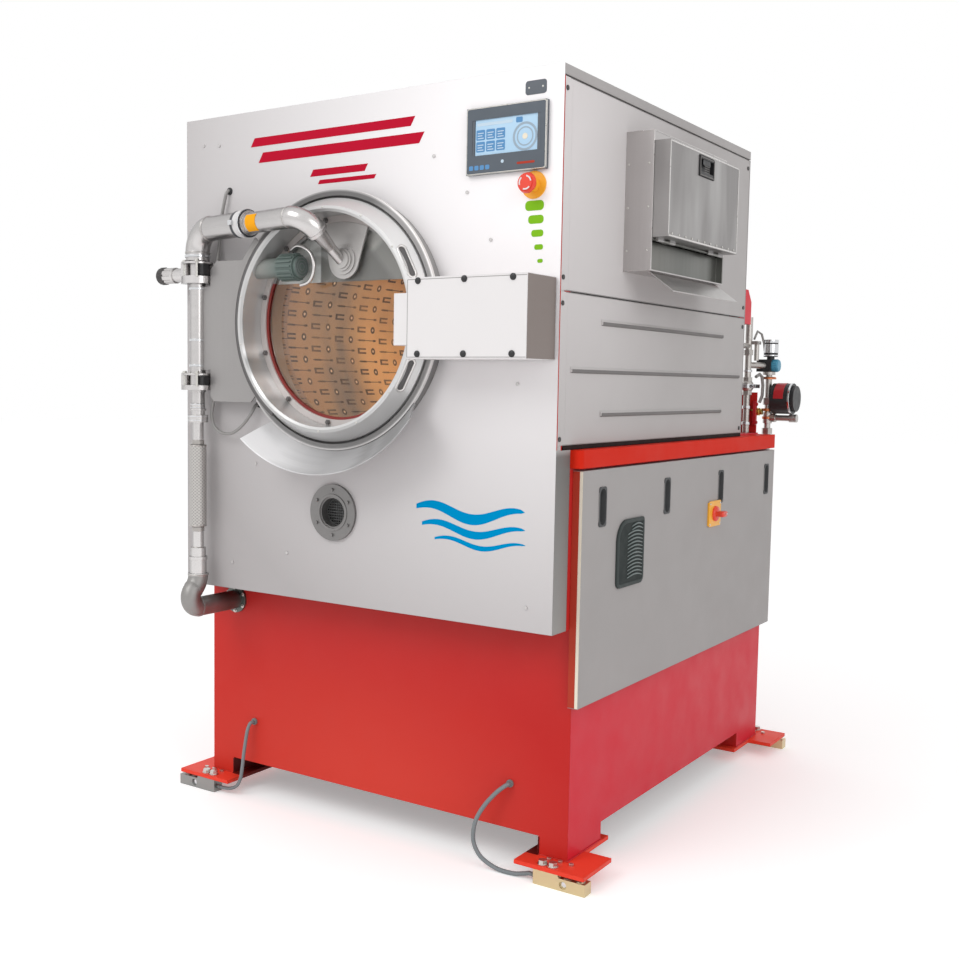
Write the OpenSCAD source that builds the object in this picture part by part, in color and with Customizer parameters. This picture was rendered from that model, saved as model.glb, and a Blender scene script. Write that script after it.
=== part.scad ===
// Front-loading industrial washing machine on a load-cell base.
// X points right as seen from the front, Y points to the back, Z points up.
// The origin lies on the floor, in the middle of the four floor anchor holes.

/* [Casing] */
// Width of the casing and of the base
body_w = 1362; // [1350:1:1420]
// Height of the whole machine above the floor
body_h = 2200; // [2190:1:2300]
// Depth of the upper casing behind the face of the front panel
casing_d = 1374; // [1360:1:1450]
// Thickness of the casing sheets
sheet = 3; // [2:0.5:4]
// Height of the lower edge of the front panel
panel_low = 714; // [700:1:760]
// Height of the upper side panel below the top
upper_h = 576; // [550:1:600]
// Size of the square frame tubes
tube = 40; // [30:1:40]
// Height of the edge band of the top cover
top_band = 28; // [20:1:35]

/* [Base] */
// Depth of the base
base_d = 1530; // [1500:1:1600]
// Distance from the front panel face to the front wall of the base
base_setback = 121; // [110:1:130]
// Height of the lower edge of the base walls
base_low = 108; // [100:1:120]
// Height of the underside of the red rim
rim_low = 1156; // [1140:1:1160]
// Height of the red rim
rim_h = 50; // [40:1:55]
// Distance that the rim stands out past the base walls
rim_out = 31; // [25:1:40]
// Thickness of the base walls
base_sheet = 5; // [4:0.5:8]

/* [Feet] */
// Thickness of the foot plates
plate_t = 12; // [10:1:16]
// Distance that the foot plates stand out at the front
plate_front = 71; // [60:1:85]
// Distance that the foot plates stand out at the back
plate_back = 86; // [60:1:100]
// Distance that the foot plates stand out at the sides
plate_side = 87; // [80:1:100]
// Height of the underside of the foot plates
plate_low = 42; // [38:1:50]
// Width of the legs
leg_w = 91; // [80:1:110]
// Length of a load cell
cell_l = 160; // [140:1:180]
// Width of a load cell
cell_w = 38; // [32:1:45]
// Diameter of the floor anchor holes in the load cells
anchor_d = 13; // [11:0.5:16]

/* [Door] */
// Position of the door centre across the machine
door_x = -42; // [-44:1:-36]
// Height of the door centre
door_z = 1555; // [1545:1:1560]
// Outer radius of the fixed door collar
collar_r = 376; // [372:1:380]
// Outer radius of the door ring
ring_r = 351; // [345:1:352]
// Inner radius of the door ring
ring_bore = 308; // [300:1:310]
// Distance that the door ring stands out of the front panel
ring_out = 98; // [85:1:105]
// Radius of the glass aperture
glass_r = 285; // [270:1:288]
// Thickness of the door glass
glass_t = 6; // [5:0.5:8]
// Number of bolts on the glass clamp ring
door_bolts = 11; // [8:1:16]
// Position of the hinge axis across the machine
hinge_x = -576; // [-580:1:-572]
// Distance of the hinge axis in front of the panel face
hinge_out = 57; // [55:1:60]

/* [Pipes] */
// Outer radius of the hinge tube that carries the door
post_r = 24.5; // [22:0.5:26]
// Outer radius of the upper elbow
elbow_r = 38; // [34:1:40]
// Height of the spray arm above the door centre
arm_up = 290; // [285:1:295]
// Outer radius of the spray arm past its clamp
arm_r = 31.5; // [28:0.5:33]
// Radial clearance between the hinge tube and its brackets
hinge_gap = 0.05; // [0.03:0.01:0.1]

/* [Drum] */
// Radius of the drum
drum_r = 545; // [530:1:555]
// Radius of the large pulley
pulley_r = 270; // [250:1:290]
// Radius of the motor pulley
motor_pulley_r = 67.5; // [60:0.5:75]
// Height of the motor axis
motor_z = 760; // [750:1:790]
// Radius of the drum shaft
shaft_r = 40; // [35:1:45]

/* [Lock housing] */
// Left side of the lock housing
lock_x0 = 303; // [295:1:310]
// Right side of the lock housing
lock_x1 = 672; // [640:1:674]
// Depth of the lock housing below the door centre
lock_down = 112; // [105:1:125]
// Height of the lock housing above the door centre
lock_up = 103; // [95:1:115]
// Distance that the lock housing stands out of the panel
lock_out = 153; // [140:1:160]

/* [Controls and dispenser] */
// Width of the touch panel
hmi_w = 244; // [220:1:260]
// Height of the touch panel
hmi_h = 175; // [160:1:190]
// Depth of the dispenser box outside the casing
disp_out = 84; // [70:1:95]
// Height of the dispenser box
disp_h = 388; // [375:1:395]
// Width of the dispenser lid
disp_lid_w = 536; // [500:1:545]
// Depth of the dispenser lid
disp_lid_t = 47; // [40:1:55]
// Travel of the emergency stop button
stop_travel = 6; // [4:0.5:8]

/* [Service panel] */
// Lower edge of the service panel
svc_low = 498; // [480:1:540]
// Height of a grip slot
grip_h = 109; // [100:1:120]

/* [Hidden] */

$fn = 72;
eps = 0.5;
fit = 0.3;
hw = body_w / 2;
tub_r = hw + door_x - 59;
drum_d = casing_d - 449;
rim_top = rim_low + rim_h;
side_seam = body_h - upper_h;
arm_z = door_z + arm_up;
lock_z0 = door_z - lock_down;
lock_z1 = door_z + lock_up;
anchor_span_y = base_d + plate_front + plate_back - cell_w;
front_y = -anchor_span_y / 2 - cell_w / 2 + plate_front - base_setback;
base_y0 = base_setback;
base_y1 = base_setback + base_d;
plate_top = plate_low + plate_t;
anchor_in = 22;
cell_x1 = hw + plate_side + 4;
anchor_x = cell_x1 - anchor_in;
cell_x0 = cell_x1 - cell_l;
steel = [0.78, 0.78, 0.77];
dark = [0.16, 0.16, 0.17];
red = [0.76, 0.19, 0.15];
sheet_grey = [0.72, 0.70, 0.69];
panel_white = [0.90, 0.89, 0.88];
lug_z = 250;

// Coordinates below count y back from the face of the front panel
module from_front() {
    translate([0, front_y, 0]) children();
}

module box(x0, x1, y0, y1, z0, z1) {
    translate([x0, y0, z0]) cube([x1 - x0, y1 - y0, z1 - z0]);
}

// Cylinder along Y from y0 to y1
module rod_y(x, z, r, y0, y1) {
    translate([x, y1, z]) rotate([90, 0, 0]) cylinder(r = r, h = y1 - y0);
}

// Cylinder along X from x0 to x1
module rod_x(y, z, r, x0, x1) {
    translate([x0, y, z]) rotate([0, 90, 0]) cylinder(r = r, h = x1 - x0);
}

// Cylinder along Z from z0 to z1
module rod_z(x, y, r, z0, z1) {
    translate([x, y, z0]) cylinder(r = r, h = z1 - z0);
}

// Ring along Y round the door axis
module ring_y(ro, ri, y0, y1) {
    difference() {
        rod_y(door_x, door_z, ro, y0, y1);
        rod_y(door_x, door_z, ri, y0 - 1, y1 + 1);
    }
}

// Ring along Y round any axis
module tube_y(x, z, ro, ri, y0, y1) {
    difference() {
        rod_y(x, z, ro, y0, y1);
        rod_y(x, z, ri, y0 - 1, y1 + 1);
    }
}

module both_sides() {
    children();
    mirror([1, 0, 0]) children();
}

// Polygon of (radius, y) points turned round the door axis
module door_turn(points, from = 0, sweep = 360) {
    translate([door_x, 0, door_z]) rotate([90, 0, 0]) rotate([0, 0, from])
        rotate_extrude(angle = sweep, $fn = 120) polygon([for (p = points) [p[0], -p[1]]]);
}

// Vector helpers for bends
function unit(v) = v / norm(v);
function across(a, b) = unit(b - (a * b) * a);
function bend_end(p, a, b, r) = p + r * (sin(acos(a * b)) * a + (1 - a * b) * across(a, b));

// Quarter-like bend of a pipe from direction a to direction b
module bend(p, a, b, r, pipe_r) {
    n = across(a, b);
    x = -n;
    z = cross(x, a);
    c = p + r * n;
    multmatrix([[x[0], a[0], z[0], c[0]], [x[1], a[1], z[1], c[1]], [x[2], a[2], z[2], c[2]]])
        rotate_extrude(angle = acos(a * b)) translate([r, 0]) circle(r = pipe_r);
}

// Straight pipe from point p to point q
module pipe(p, q, r) {
    d = q - p;
    l = norm(d);
    translate(p) rotate([0, acos(d[2] / l), atan2(d[1], d[0])]) cylinder(r = r, h = l);
}

// Cone from point p to point q
module reducer(p, q, r1, r2) {
    d = q - p;
    l = norm(d);
    translate(p) rotate([0, acos(d[2] / l), atan2(d[1], d[0])]) cylinder(r1 = r1, r2 = r2, h = l);
}

// Round tube swept through route points, eight sides
function route_dir(pts, i) = unit(pts[min(i + 1, len(pts) - 1)] - pts[max(i - 1, 0)]);
function ring_pts(p, d, r, n) =
    let (u = unit(cross(d, [0.31, 0.17, 0.93])), v = cross(d, u))
    [for (k = [0:n - 1]) p + r * (cos(360 * k / n) * u + sin(360 * k / n) * v)];
module swept(pts, r, n = 8) {
    m = len(pts);
    points = [for (i = [0:m - 1]) each ring_pts(pts[i], route_dir(pts, i), r, n)];
    sides = [for (i = [0:m - 2]) for (k = [0:n - 1]) for (f = [
        [i * n + k, i * n + (k + 1) % n, (i + 1) * n + (k + 1) % n],
        [i * n + k, (i + 1) * n + (k + 1) % n, (i + 1) * n + k]]) f];
    caps = [[for (k = [n - 1:-1:0]) k], [for (k = [0:n - 1]) (m - 1) * n + k]];
    polyhedron(points = points, faces = concat(sides, caps));
}

// Smooth route through hand-chosen points
function spline_at(a, b, c, d, t) =
    0.5 * ((2 * b) + (c - a) * t + (2 * a - 5 * b + 4 * c - d) * t * t
    + (3 * b - a - 3 * c + d) * t * t * t);
function smooth(p, steps) = concat([for (i = [0:len(p) - 2]) for (s = [0:steps - 1])
    spline_at(p[max(i - 1, 0)], p[i], p[i + 1], p[min(i + 2, len(p) - 1)], s / steps)],
    [p[len(p) - 1]]);

// Routes of the load-cell cables, from the base gland to the cell
cable_r = 5;
gland_z_right = 241;
gland_z_left = 249;
gland_x = 493;
cell_y = base_y0 - plate_front + cell_w / 2;
route_right = [[493, 112, 241], [493, 109, 241], [493, 106, 241], [486, 99, 236], [463, 90, 214],
    [434, 78, 176], [414, 68, 136], [407, 63, 98], [412, 60, 62], [438, 58, 30], [488, 58, 10],
    [540, 61, 7], [572, 68, 12], [588, 69, 17], [594, 69, 17], [600, 69, 17]];
route_left = [[-493, 112, 249], [-493, 109, 249], [-493, 106, 249], [-496, 99, 244], [-502, 94, 222],
    [-508, 90, 178], [-512, 86, 136], [-514, 82, 96], [-518, 78, 62], [-531, 74, 34], [-556, 70, 21],
    [-586, 69, 17], [-593, 69, 17], [-600, 69, 17]];

// The welded base: four walls, four legs and two front posts
leg_d = 206;
module leg() {
    difference() {
        box(hw - leg_w, hw, base_y0, base_y0 + leg_d, plate_top, base_low + 60);
        box(hw - leg_w + 8, hw - 8, base_y0 + 8, base_y0 + leg_d - 8, plate_top - 1, base_low + 61);
    }
}
module base_cabinet() color(red) from_front() difference() {
    union() {
        difference() {
            box(-hw, hw, base_y0, base_y1, base_low, rim_low);
            box(-hw + base_sheet, hw - base_sheet, base_y0 + base_sheet, base_y1 - base_sheet,
                base_low - 1, rim_low + 1);
            box(-hw + 80, hw - 80, base_y0 - 1, base_y0 + base_sheet + 1, panel_low + 160, rim_low + 1);
        }
        both_sides() leg();
        both_sides() translate([0, base_y0 + base_y1, 0]) mirror([0, 1, 0]) leg();
        both_sides() box(hw - tube, hw, base_y0 - tube, base_y0, panel_low, rim_low);
    }
    box(hw - base_sheet - 1, hw + 1, base_y0 + 90, base_y1 - 90, svc_low + 170, rim_low - 66);
    rod_y(hinge_x, supply_z, 33 + fit, base_y0 - 1, base_y0 + base_sheet + 1);
    rod_y(gland_x, gland_z_right, 8, base_y0 - 1, base_y0 + base_sheet + 1);
    rod_y(-gland_x, gland_z_left, 8, base_y0 - 1, base_y0 + base_sheet + 1);
    rod_y(drain_x, drain_z, drain_r + fit, base_y1 - base_sheet - 1, base_y1 + 1);
    for (i = [0:9])
        box(-450, -150, base_y1 - base_sheet - 1, base_y1 + 1, 560 + i * 34, 574 + i * 34);
}

// Red rim round the top of the base
rim_round = 22;
module base_rim() color(red) from_front() difference() {
    union() {
        box(-hw - rim_out, hw + rim_out, base_y0 - tube + rim_round, base_y1 + 4, rim_low, rim_top);
        box(-hw - rim_out + rim_round, hw + rim_out - rim_round, base_y0 - tube, base_y1, rim_low, rim_top);
        both_sides() rod_z(hw + rim_out - rim_round, base_y0 - tube + rim_round, rim_round, rim_low, rim_top);
    }
    box(-hw + rim_out, hw - rim_out, base_y0, base_y1 - rim_out, rim_low - 1, rim_top + 1);
    box(-hw + rim_out, hw - rim_out, base_y0 - tube - 1, base_y0 + 1, rim_low + rim_h / 2, rim_top + 1);
}

// L-shaped plates under the legs
inner_reach = 131;
module foot_plate() {
    difference() {
        translate([0, 0, plate_low]) linear_extrude(plate_t) polygon([
            [hw - inner_reach, base_y0 - plate_front], [hw + plate_side, base_y0 - plate_front],
            [hw + plate_side, base_y0 + 100], [hw + 4, base_y0 + 100], [hw + 4, base_y0 + 250],
            [hw - inner_reach, base_y0 + 250]]);
        for (x = foot_bolt_x) rod_z(x, cell_y, 8.2, plate_low - 1, plate_top + 1);
        for (x = [0, 35, 70]) rod_z(foot_bolt_x[0] - 1 + x, base_y0 - 15, 4.2, plate_low - 1, plate_top + 1);
    }
}
foot_bolt_x = [cell_x0 + 20, cell_x0 + 52];
module at_corners() {
    both_sides() children();
    both_sides() translate([0, base_y0 + base_y1, 0]) mirror([0, 1, 0]) children();
}
// The back pair is moved out by the difference of the two plate overhangs
module back_pair() {
    both_sides() translate([0, base_y0 + base_y1 + plate_back - plate_front, 0])
        mirror([0, 1, 0]) children();
}
module foot_plates() color(red) from_front() {
    both_sides() foot_plate();
    back_pair() foot_plate();
}

// Hexagon bolts that hold the load cells, and small weld-on studs
module foot_bolt_set() {
    for (x = foot_bolt_x) {
        translate([x, cell_y, plate_top]) cylinder(r = 15, h = 3);
        translate([x, cell_y, plate_top + 3]) cylinder(r = 13, h = 10, $fn = 6);
        rod_z(x, cell_y, 8, plate_low - 24, plate_top + eps);
    }
    for (x = [0, 35, 70]) translate([foot_bolt_x[0] - 1 + x, base_y0 - 15, 0]) {
        translate([0, 0, plate_top]) cylinder(r = 7.5, h = 6, $fn = 6);
        translate([0, 0, plate_low + 2]) cylinder(r = 4, h = plate_t);
    }
}
module foot_bolts() color(steel) from_front() {
    both_sides() foot_bolt_set();
    back_pair() foot_bolt_set();
}

// Shear-beam load cells, bolted under the plates at their inner end
module load_cell() {
    difference() {
        translate([0, cell_y + cell_w / 2, 0]) rotate([90, 0, 0]) linear_extrude(cell_w) polygon([
            [cell_x0, 0], [cell_x1, 0], [cell_x1, plate_low - 8], [cell_x0 + cell_l / 2, plate_low - 8],
            [cell_x0 + cell_l / 2 - 4, plate_low], [cell_x0, plate_low]]);
        rod_z(anchor_x, cell_y, anchor_d / 2, -1, plate_low);
        for (x = foot_bolt_x) rod_z(x, cell_y, 8.2, plate_low - 25, plate_low + 1);
        for (s = [-1, 1]) rod_y(cell_x0 + cell_l * 0.58, 17, 11, cell_y + s * cell_w / 2 - 6,
            cell_y + s * cell_w / 2 + 6);
    }
}
module load_cells() color([0.80, 0.74, 0.58]) from_front() {
    both_sides() load_cell();
    back_pair() load_cell();
}

// Cable glands on the base and on the two front load cells
module cable_glands() color([0.45, 0.45, 0.45]) from_front() {
    for (g = [[gland_x, gland_z_right], [-gland_x, gland_z_left]]) {
        rod_y(g[0], g[1], 7.8, base_y0 - 1, base_y0 + base_sheet + 4);
        rod_y(g[0], g[1], 11, base_y0 - 6, base_y0);
        rod_y(g[0], g[1], 7, 112.4, base_y0 - 5);
        translate([g[0], base_y0 + base_sheet + 8, g[1]]) rotate([90, 0, 0]) cylinder(r = 12, h = 8, $fn = 6);
    }
    both_sides() rod_x(cell_y, 17, 7, 600.4, cell_x0);
}

module load_cable_right() color([0.50, 0.53, 0.54]) from_front() swept(smooth(route_right, 4), cable_r);
module load_cable_left() color([0.50, 0.53, 0.54]) from_front() swept(smooth(route_left, 4), cable_r);

// Square-tube frame of the casing with the two tub cradles
frame_x = hw - sheet;
frame_y0 = 24;
frame_y1 = casing_d - sheet;
frame_top = body_h - top_band - sheet;
module casing_frame() color(red) from_front() {
    both_sides() {
        box(frame_x - tube, frame_x, frame_y0, frame_y0 + tube, rim_top, frame_top);
        box(frame_x - tube, frame_x, frame_y1 - tube, frame_y1, rim_top, frame_top);
        box(frame_x - tube, frame_x, frame_y0 + tube, frame_y1 - tube, frame_top - tube, frame_top);
        box(frame_x - tube, frame_x, frame_y0 + tube, frame_y1 - tube, rim_top, rim_top + tube);
    }
    box(tube - frame_x, frame_x - tube, frame_y0, frame_y0 + tube, frame_top - tube / 2, frame_top);
    box(tube - frame_x, frame_x - tube, frame_y1 - tube, frame_y1, frame_top - tube, frame_top);
    box(tube - frame_x, frame_x - tube, frame_y1 - tube, frame_y1, rim_top, rim_top + tube);
    for (y = [tub_y0 + 130, tub_y1 - 200]) difference() {
        box(tube - frame_x, frame_x - tube, y, y + 12, rim_low - 140, rim_top + tube);
        rod_y(door_x, door_z, tub_r + fit, y - 1, y + 13);
    }
}

// Front panel: a tray with the door aperture
port_x = -65;
port_z = 990;
module front_panel() color(panel_white) from_front() difference() {
    union() {
        box(-hw, hw, 0, sheet, panel_low, body_h);
        both_sides() box(hw - sheet, hw, 0, frame_y0, rim_top, body_h - top_band - sheet);
        both_sides() box(hw - sheet, hw, 0, base_y0 - tube - 2, panel_low, rim_top);
        box(-hw + sheet, hw - sheet, 0, 26, panel_low, panel_low + sheet);
    }
    rod_y(door_x, door_z, collar_r - 10 + fit, -1, sheet + 1);
    rod_y(port_x, port_z, 50, -1, sheet + 1);
    box(lock_bolt_x - 15.5, lock_bolt_x + 15.5, -1, sheet + 1, lock_bolt_z - 15.5, lock_bolt_z + 15.5);
    rod_y(stop_x, stop_z, 11.3, -1, sheet + 1);
    box(hmi_x - hmi_w / 2 + 20, hmi_x + hmi_w / 2 - 20, -1, sheet + 1,
        hmi_z - hmi_h / 2 + 20, hmi_z + hmi_h / 2 - 20);
}

// Right side of the casing, in two panels
disp_y0 = 372;
disp_w = disp_lid_w + 16;
disp_z1 = body_h - 109;
disp_z0 = disp_z1 - disp_h;
module side_panel_upper() color(sheet_grey) from_front() difference() {
    box(hw - sheet, hw, frame_y0 + 6, casing_d - sheet, side_seam + 1.5, body_h - top_band - sheet);
    box(hw - sheet - 1, hw + 1, disp_y0 + 20, disp_y0 + disp_w - 20, disp_z0 + 20, disp_z1 - 20);
}
rib_span = side_seam - rim_top;
side_ribs = [[243, casing_d - 211, rim_top + 0.83 * rib_span], [67, casing_d - 44, rim_top + 0.512 * rib_span],
    [248, casing_d - 209, rim_top + 0.2273 * rib_span]];
module side_panel_lower() color(sheet_grey) from_front() {
    box(hw - sheet, hw, frame_y0 + 6, casing_d - sheet, rim_top + 13, side_seam - 1.5);
    for (r = side_ribs) translate([hw - eps, r[0], r[2]]) rotate([-90, 0, 0])
        linear_extrude(r[1] - r[0]) polygon([[0, -9], [5 + eps, -1], [5 + eps, 6], [0, 8]]);
}
module side_panel_left() color(sheet_grey) from_front() {
    box(-hw, -hw + sheet, frame_y0 + 6, casing_d - sheet, rim_top + 13, side_seam - 1.5);
    box(-hw, -hw + sheet, frame_y0 + 6, casing_d - sheet, side_seam + 1.5, body_h - top_band - sheet);
    for (r = side_ribs) translate([-hw + eps, r[0], r[2]]) rotate([-90, 0, 0])
        linear_extrude(r[1] - r[0]) polygon([[0, -9], [-5 - eps, -1], [-5 - eps, 6], [0, 8]]);
}
module rear_panel() color(sheet_grey) from_front() {
    difference() {
        box(-hw, hw, casing_d - sheet, casing_d, rim_top + 13, body_h - top_band - sheet);
        for (i = [0:7])
            box(260, 520, casing_d - sheet - 1, casing_d + 1, rim_top + 114 + i * 36, rim_top + 126 + i * 36);
    }
    box(-430, 350, casing_d, casing_d + 2, rim_top + 54, body_h - 300);
}
module top_cover() color(sheet_grey) from_front() difference() {
    box(-hw, hw, sheet, casing_d, body_h - top_band, body_h);
    box(-hw + sheet, hw - sheet, sheet - 1, casing_d - sheet, body_h - top_band - 1, body_h - sheet);
}
// Deck behind the casing that carries the inlet fittings
module rear_deck() color(red) from_front() {
    difference() {
        box(-hw + rim_out - 6, hw - rim_out + 6, casing_d + 2, base_y1 - rim_out + 6, rim_top, rim_top + 6);
        rod_z(riser_x, riser_y, 24, rim_top - 1, rim_top + 7);
    }
    difference() {
        box(hw - 60, hw - 3, casing_d, casing_d + 70, 1605, 1726);
        box(hw - 54, hw - 9, casing_d - 1, casing_d + 64, 1604, 1720);
        translate([hw - 61, casing_d + 30, 1732]) rotate([-50, 0, 0]) cube([60, 90, 90]);
    }
    box(riser_x - 26, riser_x + 32, riser_y + 19, riser_y + 25, rim_top + 6, 1362);
}

// Small domed screws on the panels
panel_studs = [[279, body_h - 197], [390, body_h - 304], [468, body_h - 435], [-605, body_h - 83],
    [-538, body_h - 89], [-380, 1120], [-480, 800], [-250, 850], [560, door_z - 175], [600, 780]];
stud_z = [body_h - 60, side_seam + 35, side_seam - 32, rim_top + 30];
side_studs = [for (y = [14, casing_d - 24], z = stud_z) [y, z]];
module panel_screws() color([0.35, 0.33, 0.33]) from_front() {
    for (p = panel_studs) rod_y(p[0], p[1], 5, -2.5, 0);
    both_sides() for (p = side_studs) rod_x(p[0], p[1], 6.5, hw, hw + 3);
}

// Fixed collar: a throat from the front panel back to the tub
collar_bore = collar_r - 18;
module door_collar() color(steel) from_front() door_turn([[collar_bore, -50], [collar_r, -50],
    [collar_r, -40], [collar_r - 10, -40], [collar_r - 10, tub_y0 + 4], [collar_bore, tub_y0 + 4]]);

// Rubber gasket between collar and door ring
module door_seal() color(dark) from_front() ring_y(collar_bore - fit, ring_r - 8, -37, -20);

// Conical skirt that catches drips below the door
module drip_apron() color(steel) from_front() door_turn([[collar_r + 0.2, -45], [442, -140],
    [445, -140], [collar_r + 4, -42], [collar_r + 0.2, -42]], from = 232, sweep = 90);

// Hinge brackets on the panel, each a pair of rings and a back block
bracket_levels = [[door_z + 124, door_z + 147, door_z + 185, door_z + 191],
    [door_z - 208, door_z - 193, door_z - 162, door_z - 156]];
module hinge_brackets() color(steel) from_front() for (b = bracket_levels) difference() {
    union() {
        rod_z(hinge_x, -hinge_out, 50, b[0], b[1]);
        rod_z(hinge_x, -hinge_out, 48, b[2], b[3]);
        box(hinge_x - 30, hinge_x + 40, -hinge_out + 30, 0, b[0], b[3]);
        box(hinge_x - 50.4, hinge_x - 27, -hinge_out - 24, -hinge_out + 24, b[0], b[3]);
    }
    rod_z(hinge_x, -hinge_out, post_r + hinge_gap, b[0] - 1, b[3] + 1);
}

// Blank stub with its cap, on the left of the upper bracket
stub_z = door_z + 154;
module side_stub() color(steel) from_front() {
    rod_x(-hinge_out, stub_z, 22, hinge_x - 94, hinge_x - 50.4);
    difference() {
        rod_x(-hinge_out, stub_z, 25, hinge_x - 161, hinge_x - 94);
        for (a = [0:45:315]) translate([0, -hinge_out, stub_z]) rotate([a, 0, 0])
            rod_x(27, 0, 4, hinge_x - 160, hinge_x - 104);
    }
}

// Supply pipe from the base front up to the rotary union
supply_z = 652;
union_top = door_z - 250;
lower_turn = 50;
low_a = [0, -sin(lower_turn), -cos(lower_turn)];
low_p = [hinge_x, -hinge_out, 758];
low_q = bend_end(low_p, [0, 0, -1], low_a, 60);
low_r = (low_q[2] - supply_z) / (1 + sin(lower_turn));
low_end = bend_end(low_q, low_a, [0, 1, 0], low_r);
module supply_pipe() color(steel) from_front() {
    bend(low_p, [0, 0, -1], low_a, 60, 31.5);
    pipe(low_q - 3 * low_a, low_q + 3 * low_a, 32.5);
    bend(low_q, low_a, [0, 1, 0], low_r, 31.5);
    rod_y(hinge_x, supply_z, 32.5, low_end[1] - 3, low_end[1] + 3);
    rod_y(hinge_x, supply_z, 31, low_end[1] - 1, base_y0 + 60);
    rod_y(hinge_x, supply_z, 44, base_y0 - 8, base_y0 - fit);
    rod_z(hinge_x, -hinge_out, 32.5, 754, 762);
    rod_z(hinge_x, -hinge_out, 26.5, 762, 816);
    rod_z(hinge_x, -hinge_out, 29, 806, 816);
    rod_z(hinge_x, -hinge_out, 24, 816, 845);
    rod_z(hinge_x, -hinge_out, 17.5, 845, union_top - 60);
    rod_z(hinge_x, -hinge_out, 32, union_top - 60, union_top - 37);
    rod_z(hinge_x, -hinge_out, 22, union_top - 37, union_top);
    rod_z(hinge_x, -hinge_out, 26, union_top - 23, union_top - 17);
}
// Woven sleeve round the supply pipe
module pipe_sleeve() color([0.62, 0.61, 0.60]) from_front() difference() {
    rod_z(hinge_x, -hinge_out, 26.5, union_top - 389, union_top - 134);
    rod_z(hinge_x, -hinge_out, 17.5 + fit, union_top - 390, union_top - 133);
}

// Thin hose clipped beside the hinge tube, with a loop below
hose_r = 5;
hose_route = [
    [-493, -0.5, door_z + 412], [-493, -4, door_z + 412], [-493, -7.5, door_z + 412],
    [-496, -14, door_z + 400], [-508, -15, door_z + 355], [-519, -14, door_z + 313],
    [-523, -15, door_z + 255], [-523, -24, door_z + 195], [-523, -30, door_z + 135],
    [-523, -30, door_z - 5], [-523, -30, door_z - 145], [-524, -30, door_z - 190],
    [-527, -30, door_z - 220], [-536, -30, door_z - 253], [-542, -30, door_z - 289],
    [-530, -30, door_z - 323], [-500, -30, door_z - 341], [-462, -30, door_z - 343],
    [-432, -30, door_z - 331], [-400, -30, door_z - 307], [-376, -28, door_z - 279],
    [-367, -20, door_z - 257], [-366, -9, door_z - 248], [-366, -4.5, door_z - 248],
    [-366, -0.5, door_z - 248]];
module thin_hose() color([0.38, 0.38, 0.38]) from_front() {
    swept(smooth(hose_route, 3), hose_r);
}

// Sampling port below the door
module sample_port() color([0.42, 0.42, 0.43]) from_front() {
    difference() {
        rod_y(port_x, port_z, 85, -9, 0);
        rod_y(port_x, port_z, 47, -10, 1);
        for (a = [0:60:300]) rod_y(port_x + 68 * sin(a), port_z - 68 * cos(a), 5.2, -10, 1);
    }
    for (a = [0:60:300]) rod_y(port_x + 68 * sin(a), port_z - 68 * cos(a), 5, -14, 0);
    tube_y(port_x, port_z, 47, 43, -6, 90);
    rod_y(port_x, port_z, 43.5, 60, 66);
}

// Receiver of the lock bolt, behind the front panel
lock_bolt_x = 560;
lock_bolt_z = door_z - 5;
keeper_half = 15;
module lock_keeper() color([0.5, 0.5, 0.52]) from_front() difference() {
    union() {
        box(lock_bolt_x - 40, lock_bolt_x + 40, sheet, sheet + 8, lock_bolt_z - 50, lock_bolt_z + 50);
        box(lock_bolt_x - 25, lock_bolt_x + 25, sheet, sheet + 50, lock_bolt_z - 25, lock_bolt_z + 25);
    }
    box(lock_bolt_x - keeper_half, lock_bolt_x + keeper_half, -1, sheet + 60,
        lock_bolt_z - keeper_half, lock_bolt_z + keeper_half);
}

// Touch panel
hmi_x = 516;
hmi_z = body_h - 175;
module touch_panel_frame() color([0.29, 0.32, 0.34]) from_front() difference() {
    union() {
        box(hmi_x - hmi_w / 2, hmi_x + hmi_w / 2, -14, 0, hmi_z - hmi_h / 2, hmi_z + hmi_h / 2);
        box(hmi_x - hmi_w / 2 + 22, hmi_x + hmi_w / 2 - 22, 0, 45, hmi_z - hmi_h / 2 + 22,
            hmi_z + hmi_h / 2 - 22);
    }
    box(hmi_x - hmi_w / 2 + 26, hmi_x + hmi_w / 2 - 26, -15, -10, hmi_z - hmi_h / 2 + 47,
        hmi_z + hmi_h / 2 - 30);
}
module touch_panel_screen() color([0.75, 0.84, 0.90]) from_front()
    box(hmi_x - hmi_w / 2 + 27, hmi_x + hmi_w / 2 - 27, -12, -10, hmi_z - hmi_h / 2 + 48,
        hmi_z + hmi_h / 2 - 31);

// Emergency stop: yellow base and red mushroom button
stop_x = 598;
stop_z = hmi_z - 126;
module stop_button_base() color([0.96, 0.60, 0.15]) from_front() difference() {
    union() {
        rod_y(stop_x, stop_z, 36, -4, 0);
        rod_y(stop_x, stop_z, 19, -22, -4);
        rod_y(stop_x, stop_z, 11, -4, 40);
    }
    rod_y(stop_x, stop_z, 8, -23, 30);
}
module stop_button() color([0.90, 0.28, 0.20]) from_front() {
    rod_y(stop_x, stop_z, 7.95, -32, 18);
    rod_y(stop_x, stop_z, 22, -38, -22 - stop_travel - fit);
    translate([stop_x, -38, stop_z]) rotate([90, 0, 0]) cylinder(r1 = 27, r2 = 24, h = 8);
    rod_y(stop_x, stop_z, 20, -49, -46);
}

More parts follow.
